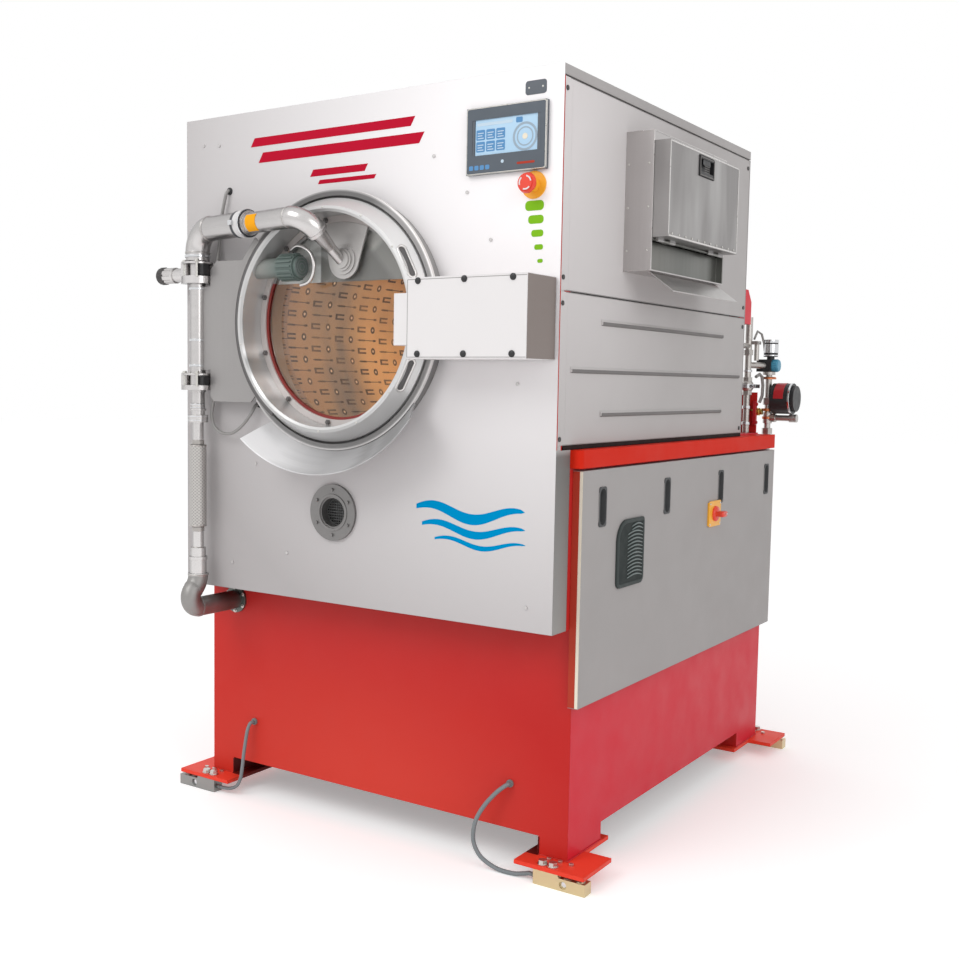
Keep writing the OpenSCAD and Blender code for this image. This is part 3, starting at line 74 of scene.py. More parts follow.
# Camera, at the photo's viewpoint
scene = bpy.context.scene
cam_data = bpy.data.cameras.new("camera")
cam = place("camera", cam_data)
scene.camera = cam
cam_data.sensor_width = 36
cam_data.lens = 44.80
cam_data.shift_x = 0.0561
cam_data.shift_y = 0.0043
cam_data.clip_start = 0.05
cam_data.clip_end = 100
yaw, pitch, roll = 0.6036, 0.0840, 0.0144
ahead = Vector((-sin(yaw) * cos(pitch), cos(yaw) * cos(pitch), -sin(pitch)))
level = Vector((cos(yaw), sin(yaw), 0))
upward = level.cross(ahead)
cam_right = level * cos(roll) + upward * sin(roll)
cam_up = upward * cos(roll) - level * sin(roll)
view = Matrix((cam_right, cam_up, -ahead)).transposed().to_4x4()
view.translation = P(2175.21, -2768.21, 1378.82)
cam.matrix_world = view
scene.view_settings.view_transform = "Standard"


# Node trees
class Val:
    """A value in a node tree. Arithmetic on it adds math nodes."""

    def __init__(self, graph, socket):
        self.graph, self.socket = graph, socket

    def __add__(self, other):
        return self.graph.math("ADD", self, other)

    def __sub__(self, other):
        return self.graph.math("SUBTRACT", self, other)

    def __rsub__(self, other):
        return self.graph.math("SUBTRACT", other, self)

    def __mul__(self, other):
        return self.graph.math("MULTIPLY", self, other)

    def __abs__(self):
        return self.graph.math("ABSOLUTE", self)

    def less(self, limit):
        return self.graph.math("LESS_THAN", self, limit)

    def scaled(self, factor):
        """The value times a factor, held between 0 and 1."""
        return self.graph.math("MULTIPLY", self, factor, True)

    def above(self, edge, soft=0.004):
        """0 below the edge, 1 above it, with a short blend."""
        return (self - edge).scaled(1 / soft)

    def below(self, edge, soft=0.004):
        return 1.0 - self.above(edge, soft)


class Graph:
    """A node tree, with a short call for each kind of node used here."""

    def __init__(self, tree):
        self.tree = tree

    def plug(self, value, socket):
        if isinstance(value, Val):
            self.tree.links.new(value.socket, socket)
        elif value is not None:
            socket.default_value = value

    def node(self, kind, inputs=(), out=0, **settings):
        """Adds a node with its settings and inputs, and gives one of its outputs."""
        made = self.tree.nodes.new("ShaderNode" + kind)
        for key, value in settings.items():
            setattr(made, key, value)
        for key, value in dict(inputs).items():
            self.plug(value, made.inputs[key])
        return Val(self, made.outputs[out])

    def math(self, operation, a, b=None, clamp=False):
        return self.node("Math", {0: a, 1: b}, operation=operation, use_clamp=clamp)

    def length(self, a, b):
        return self.math("SQRT", a * a + b * b)

    def split(self, vector):
        """The three numbers of a vector."""
        outputs = self.node("SeparateXYZ", {0: vector}).socket.node.outputs
        return [Val(self, out) for out in outputs]

    def seen(self):
        """1 for rays from the camera, from a reflection or through glass."""
        rays = self.node("LightPath").socket.node.outputs
        kinds = ("Camera", "Glossy", "Transmission")
        camera, glossy, through = [Val(self, rays[f"Is {kind} Ray"]) for kind in kinds]
        return self.math("ADD", camera + glossy, through, True)


def grey(value):
    return (value, value, value, 1)


def tint(c, k):
    return (min(1, c[0] * k), min(1, c[1] * k), min(1, c[2] * k), 1)


class Mat(Graph):
    """A material whose colour is built up in layers."""

    def __init__(self, name, color, rough=0.5, metal=0.0, spec=0.5):
        self.made = bpy.data.materials.new(name)
        self.made.use_nodes = True
        super().__init__(self.made.node_tree)
        self.inputs = self.tree.nodes["Principled BSDF"].inputs
        self.coord = self.node("TexCoord", out="Object")
        self.set("Base Color", color)
        self.set("Roughness", rough)
        self.set("Metallic", metal)
        self.set("Specular IOR Level", spec)

    def set(self, socket, value):
        self.plug(value, self.inputs[socket])

    def mapped(self, scale=(1, 1, 1), loc=(0, 0, 0), rot=(0, 0, 0)):
        return self.node("Mapping", {"Vector": self.coord, "Scale": scale, "Location": loc, "Rotation": rot})

    def axes(self, loc=(0, 0, 0)):
        return self.split(self.mapped(loc=loc))

    def normal(self):
        return self.split(self.node("NewGeometry", out="Normal"))

    def noise(self, scale, detail=3, vector=None, rough=0.5):
        inputs = {"Scale": scale, "Detail": detail, "Roughness": rough, "Vector": vector or self.coord}
        return self.node("TexNoise", inputs, "Fac")

    def ramp(self, fac, stops):
        """A colour ramp. A stop holds its place and a colour or one brightness."""
        fade = self.node("ValToRGB", {0: fac})
        marks = fade.socket.node.color_ramp.elements
        while len(marks) < len(stops):
            marks.new(0.5)
        for k, (place, tone) in enumerate(stops):
            marks[k].position = place
            marks[k].color = tone if hasattr(tone, "__len__") else grey(tone)
        return fade

    def mix(self, fac, a, b, mode="MIX"):
        return self.node("Mix", {0: fac, 6: a, 7: b}, 2, data_type="RGBA", blend_type=mode)

    def vary(self, fac, color, spread):
        """Between a darker and a paler tint of a colour."""
        return self.mix(fac, tint(color, 1 - spread), tint(color, 1 + spread))

    def base(self, tone):
        self.tone = tone
        self.set("Base Color", tone)

    def drift(self, dark, pale, scale=14, detail=4):
        """A colour that drifts between two tones."""
        self.base(self.mix(self.noise(scale, detail), dark, pale))

    def cover(self, fac, tone):
        """Lays a tone over the colour so far, where fac is 1."""
        self.base(self.mix(fac, self.tone, tone))

    def rub(self, fac, rough, less, more):
        """Roughness that runs from a little less to a little more."""
        self.set("Roughness", self.ramp(fac, [(0.3, rough - less), (0.7, rough + more)]))

    def bump(self, height, strength, distance, edge=0.0):
        """Fine relief, and edges that look rounded to the radius edge."""
        normal = self.node("Bevel", {"Radius": edge}, samples=4) if edge else None
        inputs = {"Strength": strength, "Distance": distance, "Height": height, "Normal": normal}
        self.set("Normal", self.node("Bump", inputs))


# Kinds of finish
def paint(name, color, rough=0.42, spread=0.05, edge=0.0015, peel=0.06, spec=0.3, side=None, painted_light=None):
    """Sprayed paint: broad colour drift, orange peel, slightly worn roughness and round edges.
    side tints faces that look to +X, as painted light and shade; the last argument is (centre, radius,
    colour) of a broad zone of painted light."""
    t = Mat(name, color, rough, spec=spec)
    t.base(t.vary(t.noise(2.2, 4), color, spread))
    # Painted light: a broad lighter zone round a centre
    if painted_light:
        centre, radius, bright = painted_light
        away = t.node("VectorMath", {0: t.coord, 1: centre}, "Value", operation="DISTANCE")
        t.cover(t.ramp(away * (1 / radius), [(0.1, 1.0), (1.0, 0.0)]), bright)
    # Painted light and shade on faces that look to +X
    if side:
        t.cover(t.normal()[0].scaled(0.9), side)
    t.rub(t.noise(9, 5), rough, 0.05, 0.09)
    t.bump(t.noise(420, 2), peel, 0.0004, edge)
    return t


def ink(name, color, rough=0.4, spread=0.05, peel=0.01):
    """Flat print."""
    return paint(name, color, rough, spread, 0.0002, peel, 0.0)


def steel(name, color, rough=0.3, spread=0.1, relief=0.05, metal=1.0, rim=0.0, stretch=(1, 1, 1), fine=60,
          wear=0.05):
    """Brushed or satin steel: streaks along one direction, cloudy tone, and rim, painted shade that darkens
    the colour towards the rims.
    """
    t = Mat(name, color, rough, metal)
    streak = t.noise(fine, 4, t.mapped(stretch), 0.6)
    t.base(t.vary(streak, color, spread))
    t.cover(t.ramp(t.noise(3.0, 3), [(0.35, 0.0), (0.7, 0.45)]), tint(color, 0.86))
    # Painted shade towards the rims, by how squarely a face looks at the view
    if rim:
        facing = t.node("LayerWeight", {"Blend": 0.5}, "Facing")
        t.cover(t.ramp(facing, [(0.3, 0.0), (0.95, 1.0)]) * rim, tint(color, 0.3))
    t.rub(streak, rough, wear, wear)
    t.bump(streak, relief, 0.0003, 0.0015)
    return t


def turned(name, color, stops, rough=0.34, metal=0.6, spread=0.06, radial=None, lines=26, wear=0.05,
           drift=0.07):
    """Steel turned about the door axis: fine rings, and painted reflections whose brightness changes round
    the circle.
    stops are (turn from the left through the bottom, brightness); radial is (radius, inner, outer), factors
    of painted shade and light inside and outside the radius."""
    t = Mat(name, color, rough, metal)
    x, t.y, z = t.axes(DOOR_SHIFT)
    t.r = t.length(x, z)
    t.turn = t.math("ARCTAN2", z, x) * (0.5 / pi) + 0.5
    grid = t.node("CombineXYZ", {0: t.r * 14.0, 1: t.y * 14.0, 2: t.turn * 1.6})
    rings = t.noise(lines, 4, grid, 0.6)
    place = t.turn + (t.noise(2.2, 3, grid) - 0.5) * drift
    # Painted reflections: brightness by the turn round the circle
    shade = t.ramp(place, [(k, min(1.0, b / 1.35)) for k, b in stops])
    t.base(t.mix(1.0, t.vary(rings, color, spread), shade, "MULTIPLY"))
    if radial:
        edge, inner, outer = radial
        zone = t.mix(t.r.above(edge, 0.006), grey(inner), grey(outer))
        t.base(t.mix(1.0, t.tone, zone, "MULTIPLY"))
    t.rub(rings, rough, wear, wear)
    t.bump(rings, wear, 0.0003, 0.0012)
    return t


def moulded(name, color, rough=0.5, grain=0.12, spec=0.5):
    """Moulded plastic or rubber: fine grain and slight colour drift."""
    t = Mat(name, color, rough, spec=spec)
    t.base(t.vary(t.noise(14, 4), color, 0.08))
    t.rub(t.noise(40, 3), rough, 0.06, 0.08)
    t.bump(t.noise(900, 2), grain, 0.0003, 0.001)
    return t


# Red paint: painted light on the upper front face and in a broad zone low at the front, a painted tint on
# faces that look right, warmer towards the lower left, painted shade on the inner faces of the notches
# between the legs
RED = paint("red_paint", rgb(190, 30, 26), 0.42, 0.06, 0.003, 0.1, 0.25, side=rgb(216, 32, 54),
            painted_light=((0.0, -0.8, -0.15), 0.8, rgb(216, 66, 52)))
x, y, z = RED.axes()
face = y.below(-0.765, 0.002)
# Painted light on the upper front face, to lift the shade under the overhang
RED.cover(RED.ramp(z, [(0.42, 0.0), (0.70, 1.0)]) * face, rgb(196, 42, 40))
RED.cover(RED.ramp(x * 0.5 + (z + 0.3), [(0.0, 1.0), (0.75, 0.0)]) * face * 0.5, rgb(214, 56, 34))
# Painted shade on the inner faces of the notches between the legs
RED.cover(abs(x).less(0.5912) * z.less(0.106), rgb(92, 22, 20))
RIM_RED = paint("red_paint_rim", rgb(214, 40, 20), 0.5, 0.05, 0.003, 0.1, 0.08)
PLATES = paint("red_paint_plates", rgb(238, 66, 46), 0.42, 0.05, 0.003, 0.1, 0.2)
# Painted shade on the foot plates inside the notches between the legs
x, y, z = PLATES.axes()
PLATES.cover(abs(x).less(0.588) * abs(y).less(0.778), rgb(112, 26, 22))

# Casing paint, in lit and shaded copies: painted light from the upper right on the front, painted shade on
# the front's folds that look right (darkest low down), painted light high at the front of the sides
WHITE = paint("front_paint", rgb(176, 172, 172), 0.42, 0.02, 0.002, 0.05, 0.3,
              painted_light=((0.66, -0.8935, 2.02), 1.56, rgb(252, 249, 250)))
# Painted shade on the folds of the front panel that look right
side_shade_tones = [(0.0, rgb(150, 148, 146)), (0.49, rgb(112, 112, 110)), (0.51, rgb(180, 176, 175)),
              (1.0, rgb(186, 182, 181))]
WHITE.cover(WHITE.math("GREATER_THAN", WHITE.normal()[0], 0.7), WHITE.ramp(WHITE.axes()[2] - 0.7, side_shade_tones))
GREY = paint("side_paint", rgb(182, 178, 177), 0.5, 0.025, 0.002, 0.06, 0.25,
             painted_light=((0.68, -0.9, 2.05), 1.0, rgb(222, 217, 217)))
SERVICE = paint("service_paint", rgb(166, 162, 161), 0.5, 0.025, 0.002, 0.06, 0.25)
TOP = paint("top_paint", rgb(176, 172, 171), 0.5, 0.025, 0.002, 0.06, 0.25)
LOCK = paint("lock_paint", rgb(228, 225, 225), 0.42, 0.02, 0.002, 0.05, 0.3)

# Door ring: painted reflections round the circle, one set of bright and dark bands in the bore, another on
# the flare
bore = [(0.0, 0.76), (0.03, 0.86), (0.046, 1.35), (0.06, 0.56), (0.078, 0.7), (0.096, 1.35), (0.118, 1.3),
        (0.136, 0.62), (0.18, 0.86), (0.27, 1.0), (0.36, 1.1), (0.56, 1.15), (0.66, 1.0), (0.74, 0.72),
        (0.84, 0.66), (0.93, 0.9), (1.0, 0.76)]
flare = [(0.0, 0.7), (0.08, 0.68), (0.18, 0.54), (0.3, 0.54), (0.4, 0.76), (0.6, 0.92), (0.7, 0.76),
         (0.85, 0.62), (1.0, 0.7)]
RING = turned("door_ring_steel", rgb(224, 222, 221), bore, 0.32, 0.4, 0.08, lines=20, wear=0.03, drift=0.02)


def painted_ring_reflection(stops, r, g, b):
    return RING.ramp(RING.turn, [(k, (v * r, v * g, v * b, 1)) for k, v in stops])


FLARE_START = 0.3145
RING.base(RING.mix(RING.r.above(FLARE_START, 0.002), painted_ring_reflection(bore, 0.62, 0.615, 0.61),
                   painted_ring_reflection(flare, 0.86, 0.85, 0.845)))
# Collar: painted reflections round the circle, painted shade in the gap by the ring and painted light outside
# it, a painted highlight on the right of the outer wall, a warm painted reflection of the drum on the inner
# wall
COLLAR = turned("collar_steel", rgb(236, 233, 232),
                [(0.0, 0.8), (0.2, 0.85), (0.3, 0.72), (0.37, 0.95), (0.42, 0.8), (0.46, 1.15), (0.53, 1.3),
                 (0.58, 1.35), (0.655, 1.35), (0.69, 0.62), (0.8, 0.52), (0.9, 0.7), (1.0, 0.8)],
                0.32, 0.15, 0.1, (0.3690, 0.40, 1.3))
COLLAR.cover(COLLAR.r.above(0.3752, 0.0004) * COLLAR.turn.above(0.44, 0.02), rgb(236, 232, 230))
COLLAR.cover(COLLAR.y.above(-0.888, 0.002), rgb(170, 148, 130))
# Apron: painted highlights and shade round the circle, brightest at its left end
APRON = turned("apron_steel", rgb(236, 235, 236),
               [(0.0, 1.2), (0.14, 1.3), (0.19, 1.35), (0.225, 1.05), (0.26, 0.86), (0.3, 0.94), (0.32, 0.7),
                (0.335, 0.84), (0.35, 0.66), (0.375, 0.62), (0.4, 0.74), (1.0, 1.0)],
               0.34, 0.4, 0.03, lines=12, wear=0.02)
# Clamp ring: painted reflections round the circle; darker at its front edge
CLAMP = turned("clamp_ring_steel", rgb(222, 214, 211),
               [(0.0, 1.15), (0.12, 1.25), (0.3, 1.0), (0.6, 1.1), (0.8, 0.9), (1.0, 1.15)], 0.38, 0.35, 0.04)
CLAMP.cover((CLAMP.y * -1.0).above(0.9082, 0.0004), rgb(112, 109, 108))

# Steel of the pipes and plates; the nozzle, pipe and arm carry painted shade at their rims
PLATE = steel("hinge_plate_steel", rgb(160, 157, 156), 0.42, 0.06, 0.04, 0.6, stretch=(1, 1, 0.06))
NOZZLE = steel("nozzle_steel", rgb(188, 185, 183), 0.36, 0.05, 0.03, 0.6, 0.5)
PIPE = steel("pipe_steel", rgb(212, 209, 208), 0.24, 0.07, 0.03, 0.9, 0.95, wear=0.03, stretch=(1, 1, 0.04))
x, y, z = PIPE.axes()
lower = z.below(0.752, 0.006)
PIPE.cover(lower, PIPE.mix(y.above(-0.90, 0.06), rgb(150, 148, 146), rgb(112, 116, 112)))
PIPE.set("Roughness", PIPE.mix(lower, grey(0.24), grey(0.48)))
ARM = steel("arm_steel", rgb(204, 201, 200), 0.24, 0.07, 0.03, 0.9, 0.9, wear=0.03, stretch=(0.05, 1, 1))
BOX = steel("dispenser_steel", rgb(190, 186, 185), 0.34, 0.09, 0.05, 0.8, stretch=(1, 1, 0.04))
x, y, z = BOX.axes()
# Painted shade on the recessed face under the lid
recess_shade_tones = [(0.0, rgb(126, 124, 119)), (0.35, rgb(104, 105, 101)), (0.7, rgb(128, 128, 124))]
side = x.above(0.730, 0.004) * z.below(1.798, 0.006) * y.above(-0.517, 0.003) * z.above(1.7062, 0.002)
BOX.cover(side, BOX.ramp(y + 0.6, recess_shade_tones))
BOX.cover(x.above(0.7652, 0.001) * z.below(1.7045, 0.002), rgb(176, 173, 171))
LID = steel("lid_steel", rgb(138, 135, 134), 0.36, 0.05, 0.03, 0.7, stretch=(1, 1, 0.04))
# Painted highlights: soft diagonal streaks of sheen on the lid
diagonal_sheen = LID.noise(3.2, 2, LID.mapped((1, 2.6, 0.7), rot=(radians(38), 0, 0)))
LID.cover(LID.ramp(diagonal_sheen, [(0.42, 0.0), (0.7, 0.7)]), rgb(182, 180, 179))
DULL = steel("dull_steel", rgb(132, 130, 129), 0.42, 0.12, 0.1, 0.8)
# Pale steel: the lamp strap and slot lips, and folded edges on the dispenser paled as painted highlights
EDGE = steel("folded_edge", rgb(214, 211, 209), 0.3, 0.05, 0.03)
WELD = steel("weld_bead", rgb(176, 172, 168), 0.36, 0.15, 0.2, 0.9)
BOLT = steel("bolt_steel", rgb(205, 203, 198), 0.3, 0.1, 0.1)
DARK_BOLT = steel("dark_bolt", rgb(84, 82, 82), 0.4, 0.15, 0.1, 0.8)
# Steel on the lock housing's right side, darkened as painted shade and reflection
LOCK_RIGHT_SHADE = steel("lock_right_steel_shade", rgb(134, 123, 118), 0.4, 0.06, 0.03, 0.55, stretch=(1, 0.1, 1))
STRAINER = steel("strainer", rgb(92, 92, 92), 0.4, 0.12, 0.1, 0.8)
PALE = steel("pale_fitting", rgb(186, 182, 178), 0.3, 0.12, 0.12, 0.85)
COPPER = steel("copper_fitting", rgb(196, 120, 84), 0.34, 0.12, 0.08)
BRASS = steel("brass_fitting", rgb(200, 170, 90), 0.32, 0.12, 0.08)
SHAFT = steel("shaft_steel", rgb(150, 140, 130), 0.4, 0.08, 0.04, 0.6)
CHROME = steel("chrome", rgb(215, 216, 218), 0.12, 0.03, 0.01)
TUB = steel("tub_steel", rgb(176, 176, 176), 0.36, 0.08, 0.05, stretch=(1, 0.05, 1))
CELL = steel("cell_alloy", rgb(214, 196, 156), 0.34, 0.12, 0.08, stretch=(0.1, 1, 1))
CELL.cover(CELL.axes()[0].below(0.0), rgb(150, 150, 148))
STUD = steel("stud_steel", rgb(70, 68, 68), 0.38, 0.1, 0.1, 0.7)
STUD.cover(STUD.axes()[1].below(-0.8885, 0.001), rgb(196, 193, 192))
# Splash shield: a painted highlight along its lower part, painted shade over its right part, a lighter facet
# high on the right and a darker facet low on the right, in painted light and shade
SHIELD = steel("shield_steel", rgb(214, 210, 206), 0.45, 0.03, 0.0, 0.0, fine=14, stretch=(1, 1, 0.1))
x, y, z = SHIELD.axes(DOOR_SHIFT)
SHIELD.cover(z.below(0.165, 0.01), rgb(252, 250, 248))
SHIELD.cover(x.above(-0.092, 0.004), rgb(146, 142, 138))
SHIELD.cover((x * 1.1 - (0.30 - z)).above(0.0, 0.03), rgb(196, 191, 186))
SHIELD.cover((x * 0.75 - (z - 0.135)).above(0.0, 0.02) * 0.6, rgb(112, 108, 104))

# Plastic and rubber
BLACK = moulded("black_plastic", rgb(30, 30, 32), 0.42)
SLATE = moulded("slate_plastic", rgb(80, 86, 94), 0.35, 0.06)
PANEL_GLASS = moulded("panel_glass", rgb(84, 92, 101), 0.12, 0.0)
GRIP = moulded("grip_black", rgb(86, 87, 88), 0.55, 0.1, 0.12)
VENT = moulded("vent_grey", rgb(66, 72, 71), 0.5, 0.1, 0.1)
VENT_DARK = moulded("vent_dark", rgb(46, 52, 51), 0.55, 0.1, 0.1)
SLAT = moulded("vent_slat", rgb(112, 122, 121), 0.45, 0.05)
LATCH = moulded("latch_edge", rgb(92, 88, 86), 0.4, 0.1)
RED_BAND = moulded("red_band", rgb(176, 26, 34), 0.32, 0.03)
# Grey seal; also the dark band of painted shadow by the lip of the ring
SEAL_AND_SHADOW = moulded("grey_seal_and_shadow_band", rgb(92, 90, 90), 0.55, 0.15)
RED_SEAL = moulded("red_rubber", rgb(176, 46, 40), 0.5, 0.15)
RED_SEAL.drift(rgb(128, 40, 36), rgb(152, 50, 44))
RED_SEAL.cover(RED_SEAL.axes()[2].above(1.672, 0.004), rgb(150, 148, 147))
CABLE = moulded("cable_grey", rgb(122, 130, 133), 0.48, 0.1)
HOSE = moulded("hose_grey", rgb(146, 144, 142), 0.45, 0.1)
YELLOW = moulded("yellow_plastic", rgb(245, 176, 48), 0.35, 0.04)
KNOB = moulded("red_plastic", rgb(232, 66, 44), 0.3, 0.03)
GLAND = moulded("grey_nylon", rgb(120, 122, 122), 0.45, 0.08)
BELT = moulded("belt_rubber", rgb(26, 26, 26), 0.65, 0.25)
BLUE_CAP = moulded("blue_cap", rgb(70, 150, 180), 0.4, 0.05)
# Painted shade for the gap between the side panels and the rim
GAP_SHADE = moulded("gap_shade", rgb(34, 26, 25), 0.6, spec=0.1)
LAMP = moulded("lamp_body", rgb(92, 106, 102), 0.42, 0.12)
LAMP.drift(rgb(86, 100, 96), rgb(104, 118, 113))
# Painted shade: greyer towards the left end of the lamp
LAMP.cover(LAMP.ramp(LAMP.axes()[0] + 0.40, [(0.11, 1.0), (0.185, 0.0)]), rgb(134, 135, 131))
CLIP = moulded("clamp_band", rgb(52, 54, 60), 0.45, 0.1)
CLIP.drift(rgb(48, 50, 56), rgb(60, 62, 68))
x, y, z = CLIP.axes()
along = x * ARM_WAY.x + y * ARM_WAY.y
start = P(*ARM_START).dot(ARM_WAY)
CLIP.cover(along.above(start + 0.168, 0.001) * along.below(start + 0.197, 0.001), rgb(214, 212, 212))

# Thin paint and print
BLUE = ink("blue_print", rgb(0, 140, 196), spread=0.04)
GREEN = ink("green_print", rgb(128, 186, 42), spread=0.04)
PRINT = ink("red_print", rgb(186, 28, 52))
AMBER = ink("amber_band", rgb(244, 168, 40))
TILE = ink("screen_tile", rgb(98, 146, 192), 0.3, 0.1, 0.0)
TILE_GREY = ink("screen_ring", rgb(158, 174, 188), 0.3, peel=0.0)
TILE_PALE = ink("screen_tile_pale", rgb(196, 214, 228), 0.3, peel=0.0)
RED_SHADE = paint("red_shade", rgb(176, 62, 46), 0.45, 0.04, 0.001, 0.04, 0.1)
FOLD = paint("fold_line", rgb(150, 147, 146), 0.45, 0.03, 0.0005, 0.02, 0.2)
# Dark grey for the top seam, and painted shade on the pressed ribs
SEAM_AND_RIB_SHADE = paint("seam_and_rib_shade", rgb(118, 115, 114), 0.5, 0.03, 0.0005, 0.02, 0.2)
CREAM = paint("cream_edge", rgb(232, 224, 206), 0.42, 0.02, 0.001, 0.04, 0.0)
CAST = paint("cast_paint", rgb(96, 98, 102), 0.5, 0.12, 0.003, 0.3, 0.0)
MOTOR = paint("motor_paint", rgb(64, 86, 104), 0.42, 0.1, 0.002, 0.15, 0.1)

# Braided sleeve: two crossing wave sets in height and angle
BRAID = Mat("braid", rgb(176, 174, 170), 0.42, 0.75)
x, y, z = BRAID.axes((0.576, 0.9505, 0))
angle = BRAID.math("ARCTAN2", y, x)
STRANDS, PITCH = 14.0, 620.0
waves = [BRAID.math("SINE", angle * count + z * PITCH) for count in (STRANDS, -STRANDS)]
strands = BRAID.math("MAXIMUM", *waves)
BRAID.base(BRAID.mix(BRAID.ramp(strands, [(0.0, 0.0), (0.9, 1.0)]), rgb(158, 155, 152), rgb(196, 193, 190)))
BRAID.bump(strands, 0.35, 0.0008)


def drum_steel():
    """Warm polished steel with rows of brackets, dots and lines along the drum's axis."""
    t = Mat("drum_metal", rgb(196, 146, 108), 0.4, 0.3)
    x, y, z = t.axes(DOOR_SHIFT)
    wall_end, crisp = 0.17, 700.0
    wall = y.less(wall_end)
    back = 1.0 - wall
    angle = t.math("ARCTAN2", z * -1.0, x * -1.0) * 0.545
    # The pattern repeats in cells, which hold one of two signs by turns
    cell_u, cell_v = 0.133, 0.040
    column = (y * wall + x * back) * (1 / cell_u)
    row = (angle * wall + z * back) * (1 / cell_v)
    odd = t.math("FLOORED_MODULO", t.math("FLOOR", column) + t.math("FLOOR", row), 2.0)
    even = 1.0 - odd
    u = (t.math("FRACT", column) - 0.5) * cell_u
    v = (t.math("FRACT", row) - 0.5) * cell_v

    def block(centre, half_u, half_v):
        """1 inside the small rectangle about (centre, 0), with a soft edge."""
        return t.math("MINIMUM", half_u - abs(u - centre), half_v - abs(v)).scaled(crisp)

    bracket = t.math("SUBTRACT", block(-0.033, 0.026, 0.0116), block(-0.021, 0.0262, 0.0050), True)
    reach = t.length(u - 0.036, v)
    dot = (0.0140 - reach).scaled(500.0)
    dot_glint = (0.0056 - reach).scaled(crisp) * even
    short = t.math("MAXIMUM", block(-0.030, 0.020, 0.0040), block(0.046, 0.009, 0.0046))
    line = t.math("MAXIMUM", block(0.0, 0.057, 0.0023), short)
    mark = line * odd + t.math("MAXIMUM", bracket, dot) * even
    # Painted light: darker and greyer near the front of the drum, brighter deep inside
    t.base(t.mix((y + 0.62).scaled(1.5), rgb(160, 124, 94), rgb(240, 194, 134)))
    t.cover(t.ramp(t.noise(4.0, 4), [(0.42, 0.0), (0.7, 0.5)]), rgb(156, 124, 98))
    # Painted reflection: a grey smear in cloudy patches part way into the drum
    band = t.ramp(y + 0.55, [(0.1, 0.0), (0.24, 0.9), (0.34, 0.95), (0.48, 0.0)])
    cloud = t.ramp(t.noise(6.0, 3, t.mapped((1, 1, 0.5))), [(0.3, 0.25), (0.65, 1.0)])
    t.cover(band * cloud, rgb(112, 110, 108))
    t.cover(mark * t.ramp(t.noise(7.0, 3), [(0.3, 0.55), (0.6, 0.92)]), rgb(52, 32, 22))
    # Painted highlight at the centre of each dot
    t.cover(dot_glint, rgb(226, 200, 168))
    t.bump(mark, 0.5, 0.002)
    return t


DRUM = drum_steel()

# Glass: clear to look through, with reflections from Fresnel
GLASS = Mat("door_glass", rgb(225, 235, 238), 0.03)
clear = GLASS.node("BsdfTransparent", {0: (0.965, 0.975, 0.975, 1)})
shine = GLASS.node("BsdfGlossy", {"Roughness": 0.04})
pane = GLASS.node("MixShader", {0: GLASS.node("Fresnel", {0: 1.45}) * 0.5, 1: clear, 2: shine})
GLASS.plug(pane, GLASS.tree.nodes["Material Output"].inputs["Surface"])

SCREEN = Mat("screen_glow", rgb(170, 200, 222), 0.2)
SCREEN.drift(rgb(150, 186, 214), rgb(186, 212, 230), 9, 2)
SCREEN.set("Emission Color", rgb(150, 190, 220))
SCREEN.set("Emission Strength", 0.12)

# The material of each node
LOOKS = {
    RED: "base_cabinet casing_frame rear_deck",
    RIM_RED: "base_rim",
    PLATES: "foot_plates",
    WHITE: "front_panel",
    GREY: "side_panel_upper side_panel_lower side_panel_left rear_panel",
    TOP: "top_cover",
    SERVICE: "service_panel",
    BOLT: "foot_bolts",
    CLAMP: "glass_clamp_ring",
    STUD: "panel_screws",
    DARK_BOLT: "lock_keeper",
    CELL: "load_cells",
    GLAND: "cable_glands",
    CABLE: "load_cable_left load_cable_right",
    HOSE: "thin_hose",
    RING: "door_ring",
    COLLAR: "door_collar",
    APRON: "drip_apron",
    NOZZLE: "spray_nozzle",
    ARM: "spray_pipe",
    CLIP: "pipe_clamp",
    PIPE: "supply_pipe hinge_brackets side_stub",
    RED_SEAL: "glass_seal",
    GLASS: "door_glass",
    SHIELD: "splash_shield",
    BRAID: "pipe_sleeve",
    DULL: "sample_port drain_line",
    SLATE: "touch_panel_frame",
    PLATE: "hinge_plate",
    SEAL_AND_SHADOW: "door_seal",
    SCREEN: "touch_panel_screen",
    YELLOW: "stop_button_base",
    KNOB: "stop_button switch_knob",
    BOX: "dispenser_box",
    LID: "dispenser_lid",
    BLACK: "dispenser_latch inlet_valve",
    PALE: "inlet_pipes",
    TUB: "tub",
    CAST: "bearing_housing drum_pulley motor_pulley",
    CHROME: "bearings lock_bolt",
    SHAFT: "drum_shaft",
    MOTOR: "motor",
    BELT: "drive_belts",
    LAMP: "door_lamp",
    LOCK: "lock_housing",
    DRUM: "drum",
}
for mat, names in LOOKS.items():
    for name in names.split():
        materials = nodes[name].data.materials
        materials.clear()
        materials.append(mat.made)


# Outlines in a plane, as lists of points
def arc(cx, cy, r, first, turn, n):
    """n + 1 points round a centre, from the angle first, over turn degrees."""
    angles = [radians(first + turn * k / n) for k in range(n + 1)]
    return [(cx + r * cos(a), cy + r * sin(a)) for a in angles]


def circle(cx, cy, r, n=32):
    return arc(cx, cy, r, 0, 360, n)[:-1]


def sector(cx, cy, inner, outer, first, turn, n):
    """A strip of a ring."""
    return arc(cx, cy, outer, first, turn, n) + arc(cx, cy, inner, first, turn, n)[::-1]


def rounded(x0, x1, z0, z1, r, n=6):
    """A rectangle with round corners."""
    corners = ((x1 - r, z1 - r, 0), (x0 + r, z1 - r, 90), (x0 + r, z0 + r, 180), (x1 - r, z0 + r, 270))
    return [p for cx, cz, first in corners for p in arc(cx, cz, r, first, 90, n)]


